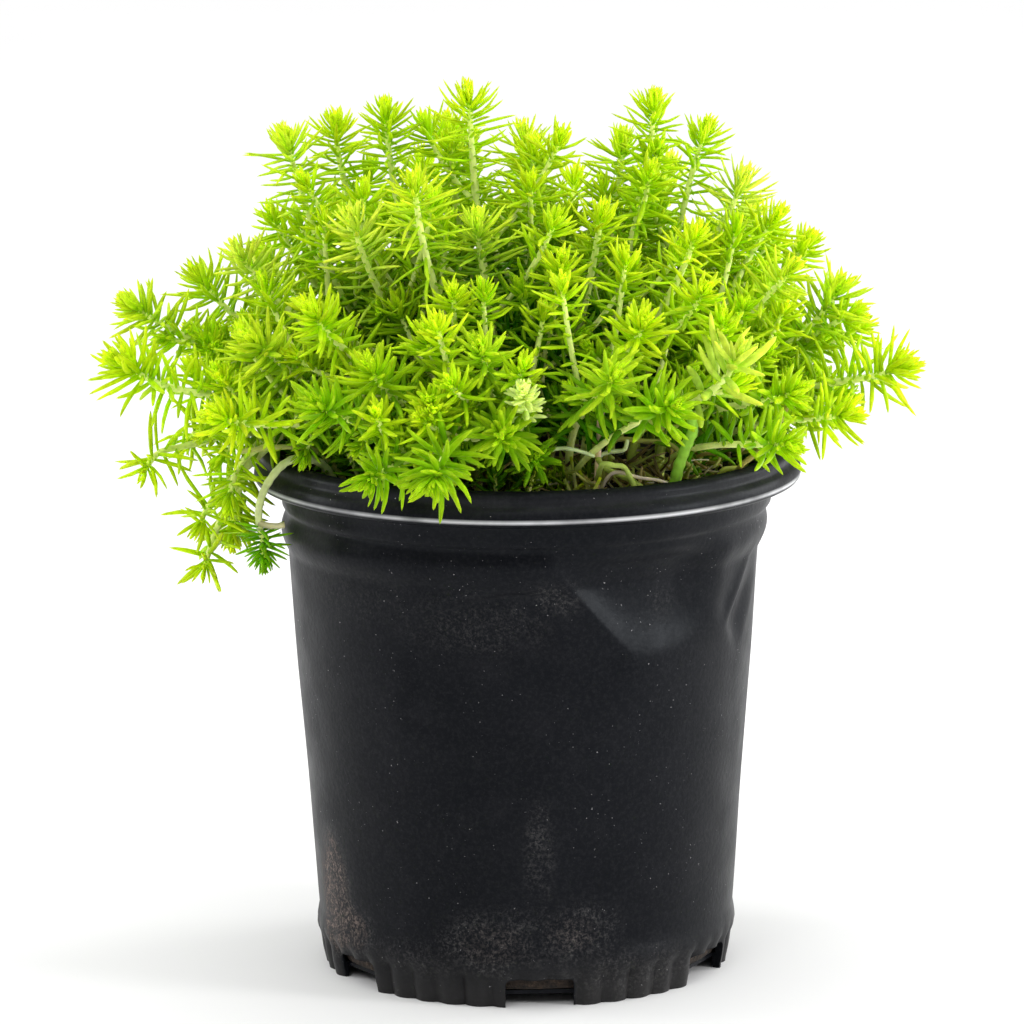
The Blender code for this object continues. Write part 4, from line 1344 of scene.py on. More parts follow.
def add_tufts(surface, chance, path):
    """Short deep green tufts low in the mound, of plainer needles."""
    start = TWIG_FROM * TUFT_START_SHARE + chance.uniform(0.0, TUFT_START_SPREAD)
    for place, tangent, outward in spots_along(chance, path, start, path.length * TUFT_STOP, TUFT_EVERY):
        heading = (outward + tangent * TUFT_FORWARD).normalized()
        length = chance.uniform(*TUFT_LENGTHS)
        end = place + heading * length
        if place.z < TUFT_TO and not in_clearing(end) and end.z > LIP_TOP:
            growth = twig_growth(chance, length, PLAIN_NEEDLE)
            growth = growth._replace(length=growth.length * TUFT_LEAVES, age=TUFT_AGE)
            line = twig_line(place, heading, length, TUFT_DROOP)
            add_shoot(surface, chance, line, growth, TUFT_RADIUS, TUFT_SIDES)


def leaf_width(height):
    """Fleshier leaves low on the mound and finer ones on its top shoots."""
    share = (height - WIDTH_LOW[0]) / (WIDTH_HIGH[0] - WIDTH_LOW[0])
    return LEAF_WIDTH * (WIDTH_LOW[1] + (WIDTH_HIGH[1] - WIDTH_LOW[1]) * min(max(share, 0.0), 1.0))


def growth_of(chance, tip, length):
    """How a planned shoot grows, by where its tip is."""
    # Painted shade: shoots low in the middle of the mound are toned down
    low = (1.0 - smooth_step(tip.z, *SHADE_TONE_HEIGHTS)) * smooth_step(abs(tip.x), *SHADE_TONE_SIDES)
    growth = Growth(
        leafy=min(chance.uniform(*LEAFY_RANGE), length * LEAFY_SHARE),
        length=LEAF_LENGTH * chance.uniform(*SHOOT_LENGTHS),
        width=leaf_width(tip.z) * chance.uniform(*SHOOT_WIDTHS),
        gap=chance.uniform(*SHOOT_GAPS),
        age=chance.uniform(*SHOOT_AGES),
        lean=FULL_LEAN * chance.uniform(*SHOOT_LEANS),
        form=FULL_NEEDLE if tip.y < FRONT_SHOOTS and tip.z < LOW_SHOOTS else LIGHT_NEEDLE,
        pale=max(chance.uniform(*SHOOT_PALENESS), 0.0) * smooth_step(tip.z, *PALE_FROM),
        tone=1.0 - (1.0 - LOW_SHADE_TONE) * low,
    )
    if is_trailing(tip):
        return growth._replace(**TRAILING_GROWTH)
    if (tip - Vector(THICK_TIP)).length < THICK_REACH:
        return growth._replace(**THICK_GROWTH)
    if tip.z > TALL_FROM:
        return growth._replace(gap=growth.gap * TALL_CROWDING)
    if abs(tip.x) > SIDE_SHOOTS and tip.z > SIDE_FROM:
        return growth._replace(length=growth.length * SIDE_LENGTH, gap=growth.gap * SIDE_CROWDING)
    return growth


def lengthened(line, tip):
    """The line carried on past the solid's tip, most at the far left and the top, least at the far right."""
    extra = TIP_EXTRA
    if tip.x < FAR_LEFT:
        extra = LEFT_EXTRA
    elif tip.x > FAR_RIGHT:
        extra = RIGHT_EXTRA
    elif tip.z > TALL_FROM:
        extra = TALL_EXTRA
    heading = (line[-1] - line[-3]).normalized()
    return [*line, line[-1] + heading * extra]


def is_trailing(tip):
    return tip.z < TRAILING_BELOW and tip.x < TRAILING_LEFT


def faced_front(line):
    """A trailing shoot's line with its end turned to the front, so that its rosette opens like a star."""
    path = Path(line)
    kept = path.length - STAR_BEND
    points = [path.at(kept * step / STAR_STEPS)[0] for step in range(STAR_STEPS)]
    here, heading, _ = path.at(kept)
    for _ in range(STAR_STEPS):
        points.append(here.copy())
        heading = (heading + STAR_WAY * STAR_TURN).normalized()
        here = here + heading * (STAR_REACH / STAR_STEPS)
    return smooth_line(points, STAR_CUTS)


def build_foliage(stems, material):
    """One piece for each planned stem, which replaces its solid."""
    for number, stem in enumerate(stems):
        chance = random.Random(STEM_SEEDS + number)
        surface = Surface()
        for shoot, radius in zip(stem.shoots, SHOOT_RADII):
            tip = shoot.line[-1]
            line = faced_front(shoot.line) if is_trailing(tip) else lengthened(shoot.line, tip)
            growth = growth_of(chance, tip, line_length(line))
            path = add_shoot(surface, chance, line, growth, radius)
            if is_trailing(tip):
                continue
            add_twigs(surface, chance, path, growth.leafy)
            add_tufts(surface, chance, path)
        surface.make(stem.name.replace("leafy", "fine"), material, (stem.name,))


def smooth_line(points, cuts=LINE_CUTS):
    return [Vector(point) for point in rounded([tuple(point) for point in points], cuts)]


def add_plain_stem(surface, points, radius, colour, sides=BARE_SIDES):
    """A leafless stem along a smooth line, a little knotted and browner at its foot."""
    path = Path(smooth_line(points), BARE_PATH_STEP)
    foot_colour = mix(colour, STEM_BROWN, BARE_FOOT_BROWN)

    def radius_at(station):
        knots = 1.0 + BARE_KNOT_DEPTH * math.sin(station * BARE_KNOT_RATE)
        return radius * knots * (1.0 - BARE_TAPER * station / path.length)

    def colour_at(station):
        return mix(foot_colour, colour, smooth_step(station, 0.0, BARE_FOOT))

    add_tube(surface, path, radius_at, colour_at, sides, 1)


def build_bare_stems(material):
    """The leafless stems that the photograph shows behind the lip, the cut stub, and the whitish rosette."""
    chance = random.Random(SEED + 2)
    surface = Surface()
    for points, radius, colour in (*BARE_STEMS, STUB):
        add_plain_stem(surface, points, radius, colour)
    add_shoot(surface, chance, smooth_line(LOOP_TUFT), LOOP_TUFT_GROWTH, LOOP_TUFT_RADIUS)
    white = Surface()
    add_shoot(white, chance, smooth_line(WHITISH), WHITISH_GROWTH, WHITISH_RADIUS)
    surface.take(white, WHITISH_TONE, WHITISH_COLOUR)
    surface.make("bare_stems", material)


def litter_spot(chance):
    """A place on the soil of the clearing, and the soil's height there."""
    x = chance.gauss(LITTER_MIDDLE[0], LITTER_SPREAD[0])
    y = chance.gauss(LITTER_MIDDLE[1], LITTER_SPREAD[1])
    if math.hypot(x, y) > LITTER_EDGE:
        return litter_spot(chance)
    return Vector((x, y, soil_height(x, y)))


def add_litter_leaf(surface, chance):
    """A dead leaf in one colour, on the soil or a little above it."""
    turn = chance.uniform(0.0, math.tau)
    colour = chance.choice(LITTER_COLOURS)
    root = litter_spot(chance)
    root += UP * (LITTER_LIFT + LITTER_HEAP * chance.uniform(0.0, 1.0) ** LITTER_HEAPING)
    leaf = Leaf(
        root=root,
        axis=UP,
        outward=level_way(turn),
        length=chance.uniform(*LITTER_LENGTHS),
        width=chance.uniform(*LITTER_WIDTHS),
        lean=math.radians(chance.uniform(*LITTER_LEANS)),
        curl=math.radians(chance.uniform(*LITTER_CURLS)),
        sway=chance.gauss(0.0, LITTER_SWAY),
        colour=mix(colour, LITTER_DARK, chance.uniform(*LITTER_DARKNESS)),
    )
    places = LIGHT_NEEDLE.places(leaf)
    surface.add(places, LIGHT_NEEDLE.faces, np.tile(leaf.colour, (len(places), 1)))


def add_strand(surface, chance):
    """A thin pale strand that wanders over the soil."""
    start = litter_spot(chance)
    start += UP * (STRAND_LIFT + STRAND_HEAP * LITTER_HEAP * chance.uniform(0.0, 1.0))
    turn = chance.uniform(0.0, math.tau)
    points = [start]
    for _ in range(STRAND_STEPS):
        turn += chance.gauss(0.0, STRAND_TURN)
        step = Vector((math.cos(turn), math.sin(turn), chance.gauss(0.0, STRAND_RISE)))
        points.append(points[-1] + step * chance.uniform(*STRAND_STEP))
    if max(math.hypot(point.x, point.y) for point in points) > STRAND_EDGE:
        return
    for point in points:
        point.z = max(point.z, soil_height(point.x, point.y) + STRAND_CLEAR)
    tone = chance.uniform(*STRAND_TONES)
    colour = tuple(part * tone for part in STRAND_COLOUR)
    add_plain_stem(surface, points, chance.uniform(*STRAND_RADII), colour, STRAND_SIDES)


def add_dull_tuft(surface, chance):
    """A small dull tuft that stands in the clearing."""
    x = chance.uniform(DULL_FROM[0], DULL_TO[0])
    y = chance.uniform(DULL_FROM[1], DULL_TO[1])
    heading = Vector((*(chance.gauss(*lean) for lean in DULL_LEANS), 1.0)).normalized()
    growth = twig_growth(chance, DULL_LEAFY, LIGHT_NEEDLE)
    growth = growth._replace(length=chance.uniform(*DULL_LEAVES), width=DULL_LEAF_WIDTH, age=DULL_AGE)
    foot = Vector((x, y, soil_height(x, y) + DULL_LIFT))
    line = twig_line(foot, heading, chance.uniform(*DULL_LENGTHS), 0.0)
    add_shoot(surface, chance, line, growth, TUFT_RADIUS, TUFT_SIDES)


def build_litter(material):
    """Dead leaves, pale strands and dull tufts on the soil of the clearing."""
    chance = random.Random(SEED + 3)
    surface = Surface()
    for _ in range(LITTER_LEAVES):
        add_litter_leaf(surface, chance)
    for _ in range(LITTER_STRANDS):
        add_strand(surface, chance)
    dull = Surface()
    for _ in range(DULL_TUFTS):
        add_dull_tuft(dull, chance)
    surface.take(dull, DULL_TONE, DULL_COLOUR)
    surface.make("soil_litter", material)


def add_rim_tuft(surface, chance, angle):
    """A short deep green tuft that stands in the soil just inside the lip, unless it is in the clearing."""
    reach = chance.uniform(*RIM_TUFT_RADII)
    foot = Vector((reach * math.cos(angle), reach * math.sin(angle), RIM_TUFT_FOOT))
    if in_clearing(foot):
        return
    length = chance.uniform(*RIM_TUFT_LENGTHS)
    heading = (level_way(angle) * chance.uniform(*RIM_TUFT_LEANS) + UP).normalized()
    growth = twig_growth(chance, length * RIM_TUFT_LEAFY, LIGHT_NEEDLE)
    growth = growth._replace(length=growth.length * chance.uniform(*RIM_TUFT_LEAVES), age=RIM_TUFT_AGE)
    line = twig_line(foot, heading, length, RIM_TUFT_DROOP)
    add_shoot(surface, chance, line, growth, RIM_TUFT_RADIUS, TUFT_SIDES)


def build_rim_tufts(material):
    """The tufts inside the lip, and the short shoots at the mound's edge."""
    chance = random.Random(SEED + 4)
    surface = Surface()
    for number in range(RIM_TUFTS):
        add_rim_tuft(surface, chance, number * GOLDEN_ANGLE)
    for points in EDGE_SHOOTS:
        line = smooth_line(points)
        growth = twig_growth(chance, line_length(line), LIGHT_NEEDLE)
        add_shoot(surface, chance, line, growth, EDGE_RADIUS, TWIG_SIDES)
    surface.make("rim_tufts", material)


# The pot


def rounded(points, cuts):
    """A Catmull-Rom curve through points, each span cut into as many steps."""
    padded = [points[0], *points, points[-1]]

    def between(p, q, r, s, t):
        rise = (2 * p - 5 * q + 4 * r - s) * t**2
        return 0.5 * (2 * q + (r - p) * t + rise + (3 * q - p - 3 * r + s) * t**3)

    made = []
    for span in zip(padded, padded[1:], padded[2:], padded[3:]):
        for cut in range(cuts):
            made.append(tuple(between(*parts, cut / cuts) for parts in zip(*span)))
    made.append(points[-1])
    return made


def fine_body():
    """Rows up the wall, closer together in its dented upper part."""
    heights = list(np.linspace(BODY_LOW[1], ROWS_SPLIT, LOW_ROWS, endpoint=False))
    heights += list(np.linspace(ROWS_SPLIT, BODY_HIGH[1], HIGH_ROWS, endpoint=False))
    slope = (BODY_HIGH[0] - BODY_LOW[0]) / (BODY_HIGH[1] - BODY_LOW[1])
    return [(BODY_LOW[0] + slope * (height - BODY_LOW[1]), height) for height in heights]


def front_degrees(angle):
    """Degrees round the pot from its front, growing towards the right."""
    return math.degrees(math.remainder(angle + math.pi / 2.0, math.tau))


def way_round(angle, degrees):
    """How far an angle is round the wall from a place in such degrees, in metres at the body's top."""
    return math.remainder(angle - math.radians(degrees - 90.0), math.tau) * BODY_HIGH[0]


def along_and_across(angle, height, start, end):
    """On the unrolled wall: how far a place is along a line and to its left, and the line's length."""
    u = way_round(angle, start[0])
    v = height - start[1]
    span_u = math.radians(end[0] - start[0]) * BODY_HIGH[0]
    span_v = end[1] - start[1]
    length = math.hypot(span_u, span_v)
    return (u * span_u + v * span_v) / length, (v * span_u - u * span_v) / length, length


def dent_depth(angle, height):
    """The hollow: the wall drops quickly from its slanted edge and more softly from its lower one."""
    degrees = front_degrees(angle)
    if not DENT_FROM < degrees < DENT_END[0]:
        return 0.0
    depth = DENT_DEPTH * smooth_step(degrees, *DENT_END)
    for start, end, width, softness in DENT_EDGES:
        across = along_and_across(angle, height, start, end)[1]
        drop = 0.5 * (across + math.sqrt(across * across + softness * softness))
        depth *= 1.0 - math.exp(-drop / width)
    along, across, length = along_and_across(angle, height, *DENT_EDGES[0][:2])
    if across < 0.0:
        share = -across / DENT_FOLD[1]
        fade = smooth_step(along, *DENT_FOLD_START)
        fade *= smooth_step(along, length + DENT_FOLD_END, length - DENT_FOLD_END)
        depth += DENT_FOLD[0] * share * math.exp(1.0 - share) * fade
    return depth


def buckle_depth(angle, height):
    """A facet on one side of a crease, and a quick shallow fold on the other."""
    low, high, facet, facet_width, far, far_width = BUCKLE
    along, across, length = along_and_across(angle, height, low, high)
    across = -across
    if abs(across) > BUCKLE_REACH:
        return 0.0
    fade = smooth_step(along, -BUCKLE_FADE, BUCKLE_FADE)
    fade *= smooth_step(along, length + BUCKLE_FADE, BUCKLE_FADE_SHARE * length)
    soft = math.sqrt(across * across + BUCKLE_SOFTNESS**2) - BUCKLE_SOFTNESS
    if across <= 0.0:
        return fade * far * soft / far_width * math.exp(1.0 - soft / far_width)
    share = soft / facet_width
    if share < 1.0:
        return fade * facet * share * (1.5 - 0.5 * share * share)
    return fade * facet * (1.0 - smooth_step(share, 1.0, 1.0 + BUCKLE_RETURN))


def wall_dents(angle, height):
    """How far the wall is pushed in at this place."""
    return dent_depth(angle, height) + buckle_depth(angle, height) + arch_depth(front_degrees(angle), height)


def arch_depth(degrees, height):
    """The shallow hollow under the arch: a quick edge at its top and a slow end below."""
    first = ARCH[0][0]
    last = ARCH[-1][0]
    if not first - ARCH_START_FADE < degrees < last + ARCH_END_FADE:
        return 0.0
    top = float(np.interp(degrees, [point[0] for point in ARCH], [point[1] for point in ARCH]))
    under = top - height
    if under < -ARCH_EDGE:
        return 0.0
    ends = smooth_step(degrees, first - ARCH_START_FADE, first + ARCH_START_FADE)
    ends *= smooth_step(degrees, last + ARCH_END_FADE, last - ARCH_END_FADE)
    edge = smooth_step(under, -ARCH_EDGE * ARCH_SOFT_SHARE, ARCH_EDGE)
    return ARCH_DEPTH * edge * math.exp(-max(under, 0.0) / ARCH_FALL) * ends


def flute_depth(angle, height):
    """Rounded ribs with sharp valleys round the foot."""
    fade = smooth_step(height, FLUTE_FADE[1], FLUTE_FADE[0])
    return FLUTE_DEPTH * fade * (1.0 - abs(math.cos(0.5 * FLUTES * angle)) ** FLUTE_SHARPNESS)


def wobble(angle, height):
    """The slight unevenness of a thin wall."""
    spot = Vector((math.cos(angle), math.sin(angle), height / WOBBLE_HEIGHT)) * WOBBLE_SCALE * WOBBLE_HEIGHT
    return WOBBLE * noise.noise(spot)


def wall_place(angle, radius, height, outside):
    """A point of the wall, with its dents, flutes and neck."""
    reach = radius
    if height > FOOT[0][1]:
        reach += wobble(angle, height)
    if ROWS_SPLIT < height < SHOULDER[2][1]:
        kept = smooth_step(height, SHOULDER[2][1], SHOULDER[0][1])
        kept *= smooth_step(height, ROWS_SPLIT, DENTS_FROM)
        reach -= kept * wall_dents(angle, height)
    if outside:
        reach -= flute_depth(angle, height)
    return (reach * math.cos(angle) + rim_shift(height), reach * math.sin(angle), height)


def pot_rows():
    """The outline in fine rows as (radius, height, whether outside), from under the floor round to inside."""
    foot = rounded((*FOOT, *FOOT_EDGE, BODY_LOW), CORNER_CUTS)[:-1]
    body = fine_body()
    lip = rounded((BODY_HIGH, *SHOULDER, *LIP, *THROAT), CORNER_CUTS)
    neck_end = (BODY_HIGH[0] - WALL, BODY_HIGH[1])
    neck = [mix(THROAT[1], neck_end, step / NECK_STEPS) for step in range(1, NECK_STEPS + 1)]
    inner = [*neck, *((radius - WALL, height) for radius, height in reversed(body[::INNER_EVERY]))]
    rows = [(FOOT_INNER_RADIUS, FLOOR_UNDER, False), (FOOT_INNER_RADIUS, 0.0, False)]
    rows += [(radius, height, True) for radius, height in (*foot, *body, *lip)]
    rows += [(radius, height, False) for radius, height in inner]
    rows += [(FOOT[-1][0] - 2.0 * WALL, FOOT[-1][1], False), (FLOOR_RADIUS, FLOOR_TOP, False)]
    return rows


def dust_at(angle, height):
    """How dusty the wall is here."""
    amount = 0.0
    for degrees, middle, half_width, half_height, most in DUST:
        share = (way_round(angle, degrees) / half_width) ** 2 + ((height - middle) / half_height) ** 2
        amount = max(amount, most * math.exp(-DUST_FALL * share * share))
    return amount


def painted_lip_highlight_at(radius, height):
    """1 on the thin outer edge under the lip and a little on its roll, where a pale highlight is painted."""
    edge = math.hypot(radius - LIP[1][0], height - LIP[1][1]) / LIP_HIGHLIGHT_EDGE
    roll = math.hypot(radius - LIP[3][0], height - LIP[3][1]) / LIP_HIGHLIGHT_ROLL
    return min(math.exp(-edge * edge) + LIP_HIGHLIGHT_ROLL_SHARE * math.exp(-roll * roll), 1.0)


def build_pot(material):
    """The fine pot as one closed mesh, with dust, a painted lip highlight and film kept as a colour for each
    vertex.
    """
    rows = pot_rows()
    places = []
    tints = []
    for radius, height, outside in rows:
        film = FOOT_FILM * smooth_step(height, FOOT_FILM_TO, 0.0) if outside else 0.0
        for column in range(POT_COLUMNS):
            angle = math.tau * column / POT_COLUMNS
            places.append(wall_place(angle, radius, height, outside))
            # Red is dust, green the painted lip highlight, blue the foot film
            tints.append((dust_at(angle, height) if outside else 0.0, painted_lip_highlight_at(radius, height), film))
    places += [(0.0, 0.0, FLOOR_UNDER), (0.0, 0.0, FLOOR_TOP)]
    tints += [(0.0, 0.0, 0.0)] * 2
    surface = Surface()
    surface.add(np.array(places), closed_faces(len(rows), POT_COLUMNS), np.array(tints))
    cut_notches(surface.make("fine_pot", material, ("nursery_pot",)))


def notch_outline():
    """Half the width and the height of points round a notch's arch with rounded corners."""
    points = [(-0.5 * NOTCH_WIDTH, -NOTCH_HEIGHT)]
    for side in (-1.0, 1.0):
        for step in range(CORNER_STEPS + 1):
            turn = math.radians(90.0 / CORNER_STEPS * step)
            share = (math.cos(turn), math.sin(turn)) if side < 0.0 else (math.sin(turn), math.cos(turn))
            x = side * (0.5 * NOTCH_WIDTH - NOTCH_CORNER + NOTCH_CORNER * share[0])
            points.append((x, NOTCH_HEIGHT - NOTCH_CORNER + NOTCH_CORNER * share[1]))
    points.append((0.5 * NOTCH_WIDTH, -NOTCH_HEIGHT))
    return points


def notch_cutter(material):
    """A piece with one block for each drain notch."""
    bm = bmesh.new()
    for notch in range(NOTCHES):
        outward = level_way(NOTCH_TURN + notch * math.tau / NOTCHES)
        sideways = UP.cross(outward)
        ends = []
        for reach in (NOTCH_INNER, NOTCH_OUTER):
            ends.append([bm.verts.new(outward * reach + sideways * x + UP * z) for x, z in notch_outline()])
        count = len(ends[0])
        for corner in range(count):
            after = (corner + 1) % count
            bm.faces.new((ends[0][corner], ends[0][after], ends[1][after], ends[1][corner]))
        bm.faces.new(list(reversed(ends[0])))
        bm.faces.new(ends[1])
    bmesh.ops.recalc_face_normals(bm, faces=bm.faces)
    mesh = bpy.data.meshes.new("notch_cutter")
    bm.to_mesh(mesh)
    bm.free()
    mesh.materials.append(material)
    return link_object("notch_cutter", mesh)


def cut_notches(pot):
    """Cut the drain notches through the foot."""
    cutter = notch_cutter(pot.data.materials[0])
    modifier = pot.modifiers.new("notches", "BOOLEAN")
    modifier.operation = "DIFFERENCE"
    modifier.object = cutter
    modifier.solver = "EXACT"
    graph = bpy.context.evaluated_depsgraph_get()
    cut_mesh = bpy.data.meshes.new_from_object(pot.evaluated_get(graph))
    pot.modifiers.clear()
    pot.data = cut_mesh
    bpy.data.objects.remove(cutter, do_unlink=True)
    cut_mesh.shade_smooth()
    cut_mesh.set_sharp_from_angle(angle=SHARP_ANGLE)
    clear_cut_colours(cut_mesh)


def clear_cut_colours(mesh):
    """The vertices that a cut makes come out white; elsewhere the blue channel never passes its foot film."""
    tint = mesh.color_attributes["tint"]
    colours = np.empty(len(mesh.vertices) * 4)
    tint.data.foreach_get("color", colours)
    colours = colours.reshape(-1, 4)
    colours[colours[:, 2] > 2.0 * FOOT_FILM, :3] = 0.0
    tint.data.foreach_set("color", colours.ravel())


# Soil and what lies on it


def soil_rows():
    """Radius and height down the soil's side, clear of the wall and of its dents."""
    outline = (
        (FLOOR_RADIUS - WALL, FLOOR_TOP + SOIL_GAP),
        (BODY_LOW[0] - 2.0 * WALL, BODY_LOW[1]),
        (BODY_HIGH[0] - WALL - DEEPEST_DENT - 2.0 * SOIL_GAP, BODY_HIGH[1]),
        (THROAT[1][0] - SOIL_GAP, THROAT[1][1]),
    )
    rows = []
    for start, end in zip(outline, outline[1:]):
        rows += [mix(start, end, step / SOIL_SIDE_ROWS) for step in range(SOIL_SIDE_ROWS)]
    return [*rows, outline[-1]]


def soil_grain(x, y, z):
    """Crumbly unevenness of the soil's skin, coarse and fine."""
    spot = Vector((x, y, z))
    coarse, fine = SOIL_GRAIN_SCALES
    return noise.noise(spot * coarse) + SOIL_FINE_SHARE * noise.noise(spot * fine)


def build_soil(material):
    """The plug of soil, crumbly on top and where the notches show its foot."""
    angles = [math.tau * column / SOIL_COLUMNS for column in range(SOIL_COLUMNS)]
    places = []
    for radius, height in soil_rows():
        for angle in angles:
            grain = soil_grain(math.cos(angle), math.sin(angle), height * SOIL_SIDE_STRETCH)
            reach = radius + SOIL_SIDE_SHARE * SOIL_ROUGHNESS * grain
            places.append((reach * math.cos(angle) + rim_shift(height), reach * math.sin(angle), height))
    for ring in range(SOIL_TOP_RINGS):
        radius = (THROAT[0][0] - SOIL_GAP) * (1.0 - ring / SOIL_TOP_RINGS)
        for angle in angles:
            x = radius * math.cos(angle)
            y = radius * math.sin(angle)
            z = soil_height(x, y) + SOIL_ROUGHNESS * soil_grain(x, y, 0.0)
            places.append((x + rim_shift(z), y, z))
    faces = closed_faces(len(places) // SOIL_COLUMNS, SOIL_COLUMNS)
    places += [(0.0, 0.0, FLOOR_TOP + SOIL_GAP), (RIM_SHIFT, 0.0, soil_height(0.0, 0.0))]
    surface = Surface()
    surface.add(np.array(places), faces, np.zeros((len(places), 3)))
    surface.make("fine_soil", material, ("potting_soil",))


def unit_ball():
    """Corners and faces of a coarse ball."""
    ball = bmesh.new()
    bmesh.ops.create_icosphere(ball, subdivisions=1, radius=1.0)
    shape = [vert.co.copy() for vert in ball.verts]
    faces = [tuple(vert.index for vert in face.verts) for face in ball.faces]
    ball.free()
    return shape, faces


def build_crumbs(material):
    """Loose crumbs of bark and peat on the soil."""
    chance = random.Random(SEED + 1)
    shape, faces = unit_ball()
    surface = Surface()
    for number in range(CRUMBS):
        angle = chance.uniform(0.0, math.tau)
        reach = (THROAT[0][0] - CRUMB_EDGE) * math.sqrt(chance.uniform(0.0, 1.0))
        x = reach * math.cos(angle)
        y = reach * math.sin(angle)
        size = chance.uniform(*CRUMB_SIZES)
        stretch = Vector([chance.uniform(*between) for between in CRUMB_STRETCHES])
        turn = Quaternion([chance.gauss(0.0, 1.0) for _ in range(4)]).normalized()
        middle = Vector((x + RIM_SHIFT, y, soil_height(x, y) + size * CRUMB_SUNK))
        places = []
        for corner in shape:
            rough = noise.noise(corner * CRUMB_ROUGH_SCALE + Vector((number, 0.0, 0.0)))
            places.append(middle + turn @ (corner * (1.0 + CRUMB_ROUGHNESS * rough) * stretch * size))
        shade = chance.uniform(0.0, 1.0)
        surface.add(np.array(places), faces, np.full((len(places), 3), shade))
    surface.make("soil_crumbs", material)


# Materials


def new_material(name):
    """A material and its shader and nodes."""
    material = bpy.data.materials.new(name)
    material.use_nodes = True
    tree = material.node_tree
    return material, tree, tree.nodes["Principled BSDF"]


def add_node(tree, kind, **values):
    """A node, with values set on its properties, or by input name on its sockets."""
    node = tree.nodes.new(kind)
    for name, value in values.items():
        if hasattr(node, name):
            setattr(node, name, value)
        else:
            node.inputs[name.replace("_", " ")].default_value = value
    return node


def set_inputs(shader, **values):
    """Constants on a shader's own sockets, named with underscores for spaces."""
    for name, value in values.items():
        shader.inputs[name.replace("_", " ")].default_value = value


def object_noise(tree, scale, detail, roughness=0.5):
    """Noise over the object's own coordinates, as its factor output."""
    coordinates = add_node(tree, "ShaderNodeTexCoord")
    texture = add_node(tree, "ShaderNodeTexNoise", Scale=scale, Detail=detail, Roughness=roughness)
    tree.links.new(coordinates.outputs["Object"], texture.inputs["Vector"])
    return texture.outputs["Fac"]


def ramp(tree, factor, *stops):
    """A colour ramp from stops of (position, grey or colour)."""
    node = add_node(tree, "ShaderNodeValToRGB")
    for number, (position, colour) in enumerate(stops):
        if number > 1:
            node.color_ramp.elements.new(position)
        stop = node.color_ramp.elements[number]
        stop.position = position
        stop.color = (*colour, 1.0) if isinstance(colour, tuple) else (colour, colour, colour, 1.0)
    tree.links.new(factor, node.inputs["Fac"])
    return node.outputs["Color"]


def noise_ramp(tree, scale, detail, *stops, roughness=0.5):
    """Noise over the object's own coordinates, through a ramp."""
    return ramp(tree, object_noise(tree, scale, detail, roughness), *stops)


def feed(tree, sockets, values):
    """Links into sockets, or constants set on them."""
    for socket, value in zip(sockets, values):
        if isinstance(value, bpy.types.NodeSocket):
            tree.links.new(value, socket)
        else:
            socket.default_value = (*value, 1.0) if isinstance(value, tuple) else value


def blend_colours(tree, factor, first, second, mode="MIX"):
    """Two colours or links mixed by a factor or link."""
    node = add_node(tree, "ShaderNodeMix", data_type="RGBA", blend_type=mode)
    feed(tree, (node.inputs[0], node.inputs[6], node.inputs[7]), (factor, first, second))
    return node.outputs[2]


def product(tree, first, second, clamp=False):
    node = add_node(tree, "ShaderNodeMath", operation="MULTIPLY", use_clamp=clamp)
    feed(tree, node.inputs, (first, second))
    return node.outputs[0]


def add_bump(tree, shader, height, strength, distance):
    bump = add_node(tree, "ShaderNodeBump", Strength=strength, Distance=distance)
    tree.links.new(height, bump.inputs["Height"])
    tree.links.new(bump.outputs["Normal"], shader.inputs["Normal"])


def tint_of(tree):
    return add_node(tree, "ShaderNodeAttribute", attribute_name="tint").outputs["Color"]


def leaf_material():
    """Waxy, fleshy leaf that lets some light through, mottled finely."""
    material, tree, shader = new_material("sedum_leaf_fine")
    mottle = noise_ramp(tree, 420.0, 2.0, (0.3, 0.84), (0.7, 1.14))
    colour = blend_colours(tree, 1.0, tint_of(tree), mottle, "MULTIPLY")
    tree.links.new(colour, shader.inputs["Base Color"])
    rough = noise_ramp(tree, 300.0, 2.0, (0.3, 0.34), (0.7, 0.5))
    tree.links.new(rough, shader.inputs["Roughness"])
    shader.subsurface_method = "BURLEY"
    set_inputs(
        shader,
        Subsurface_Weight=0.45,
        Subsurface_Radius=(0.9, 1.0, 0.15),
        Subsurface_Scale=0.0022,
        Specular_IOR_Level=0.15,
        Specular_Tint=(0.85, 1.0, 0.12, 1.0),
    )
    add_bump(tree, shader, object_noise(tree, 900.0, 2.0), 0.15, 0.0003)
    return material


def plastic_colour(tree):
    """Black plastic with a worn grain and a thin haze."""
    base = noise_ramp(tree, 34.0, 4.0, (0.3, BLACK_DEEP), (0.75, BLACK_PALE))
    haze = noise_ramp(tree, 60.0, 6.0, (0.52, 0.0), (0.85, 0.04), roughness=0.65)
    grain = noise_ramp(tree, 780.0, 5.0, (0.46, 0.0), (0.7, 0.065), roughness=0.8)
    return blend_colours(tree, haze, blend_colours(tree, grain, base, GRAIN_COLOUR), HAZE_COLOUR)


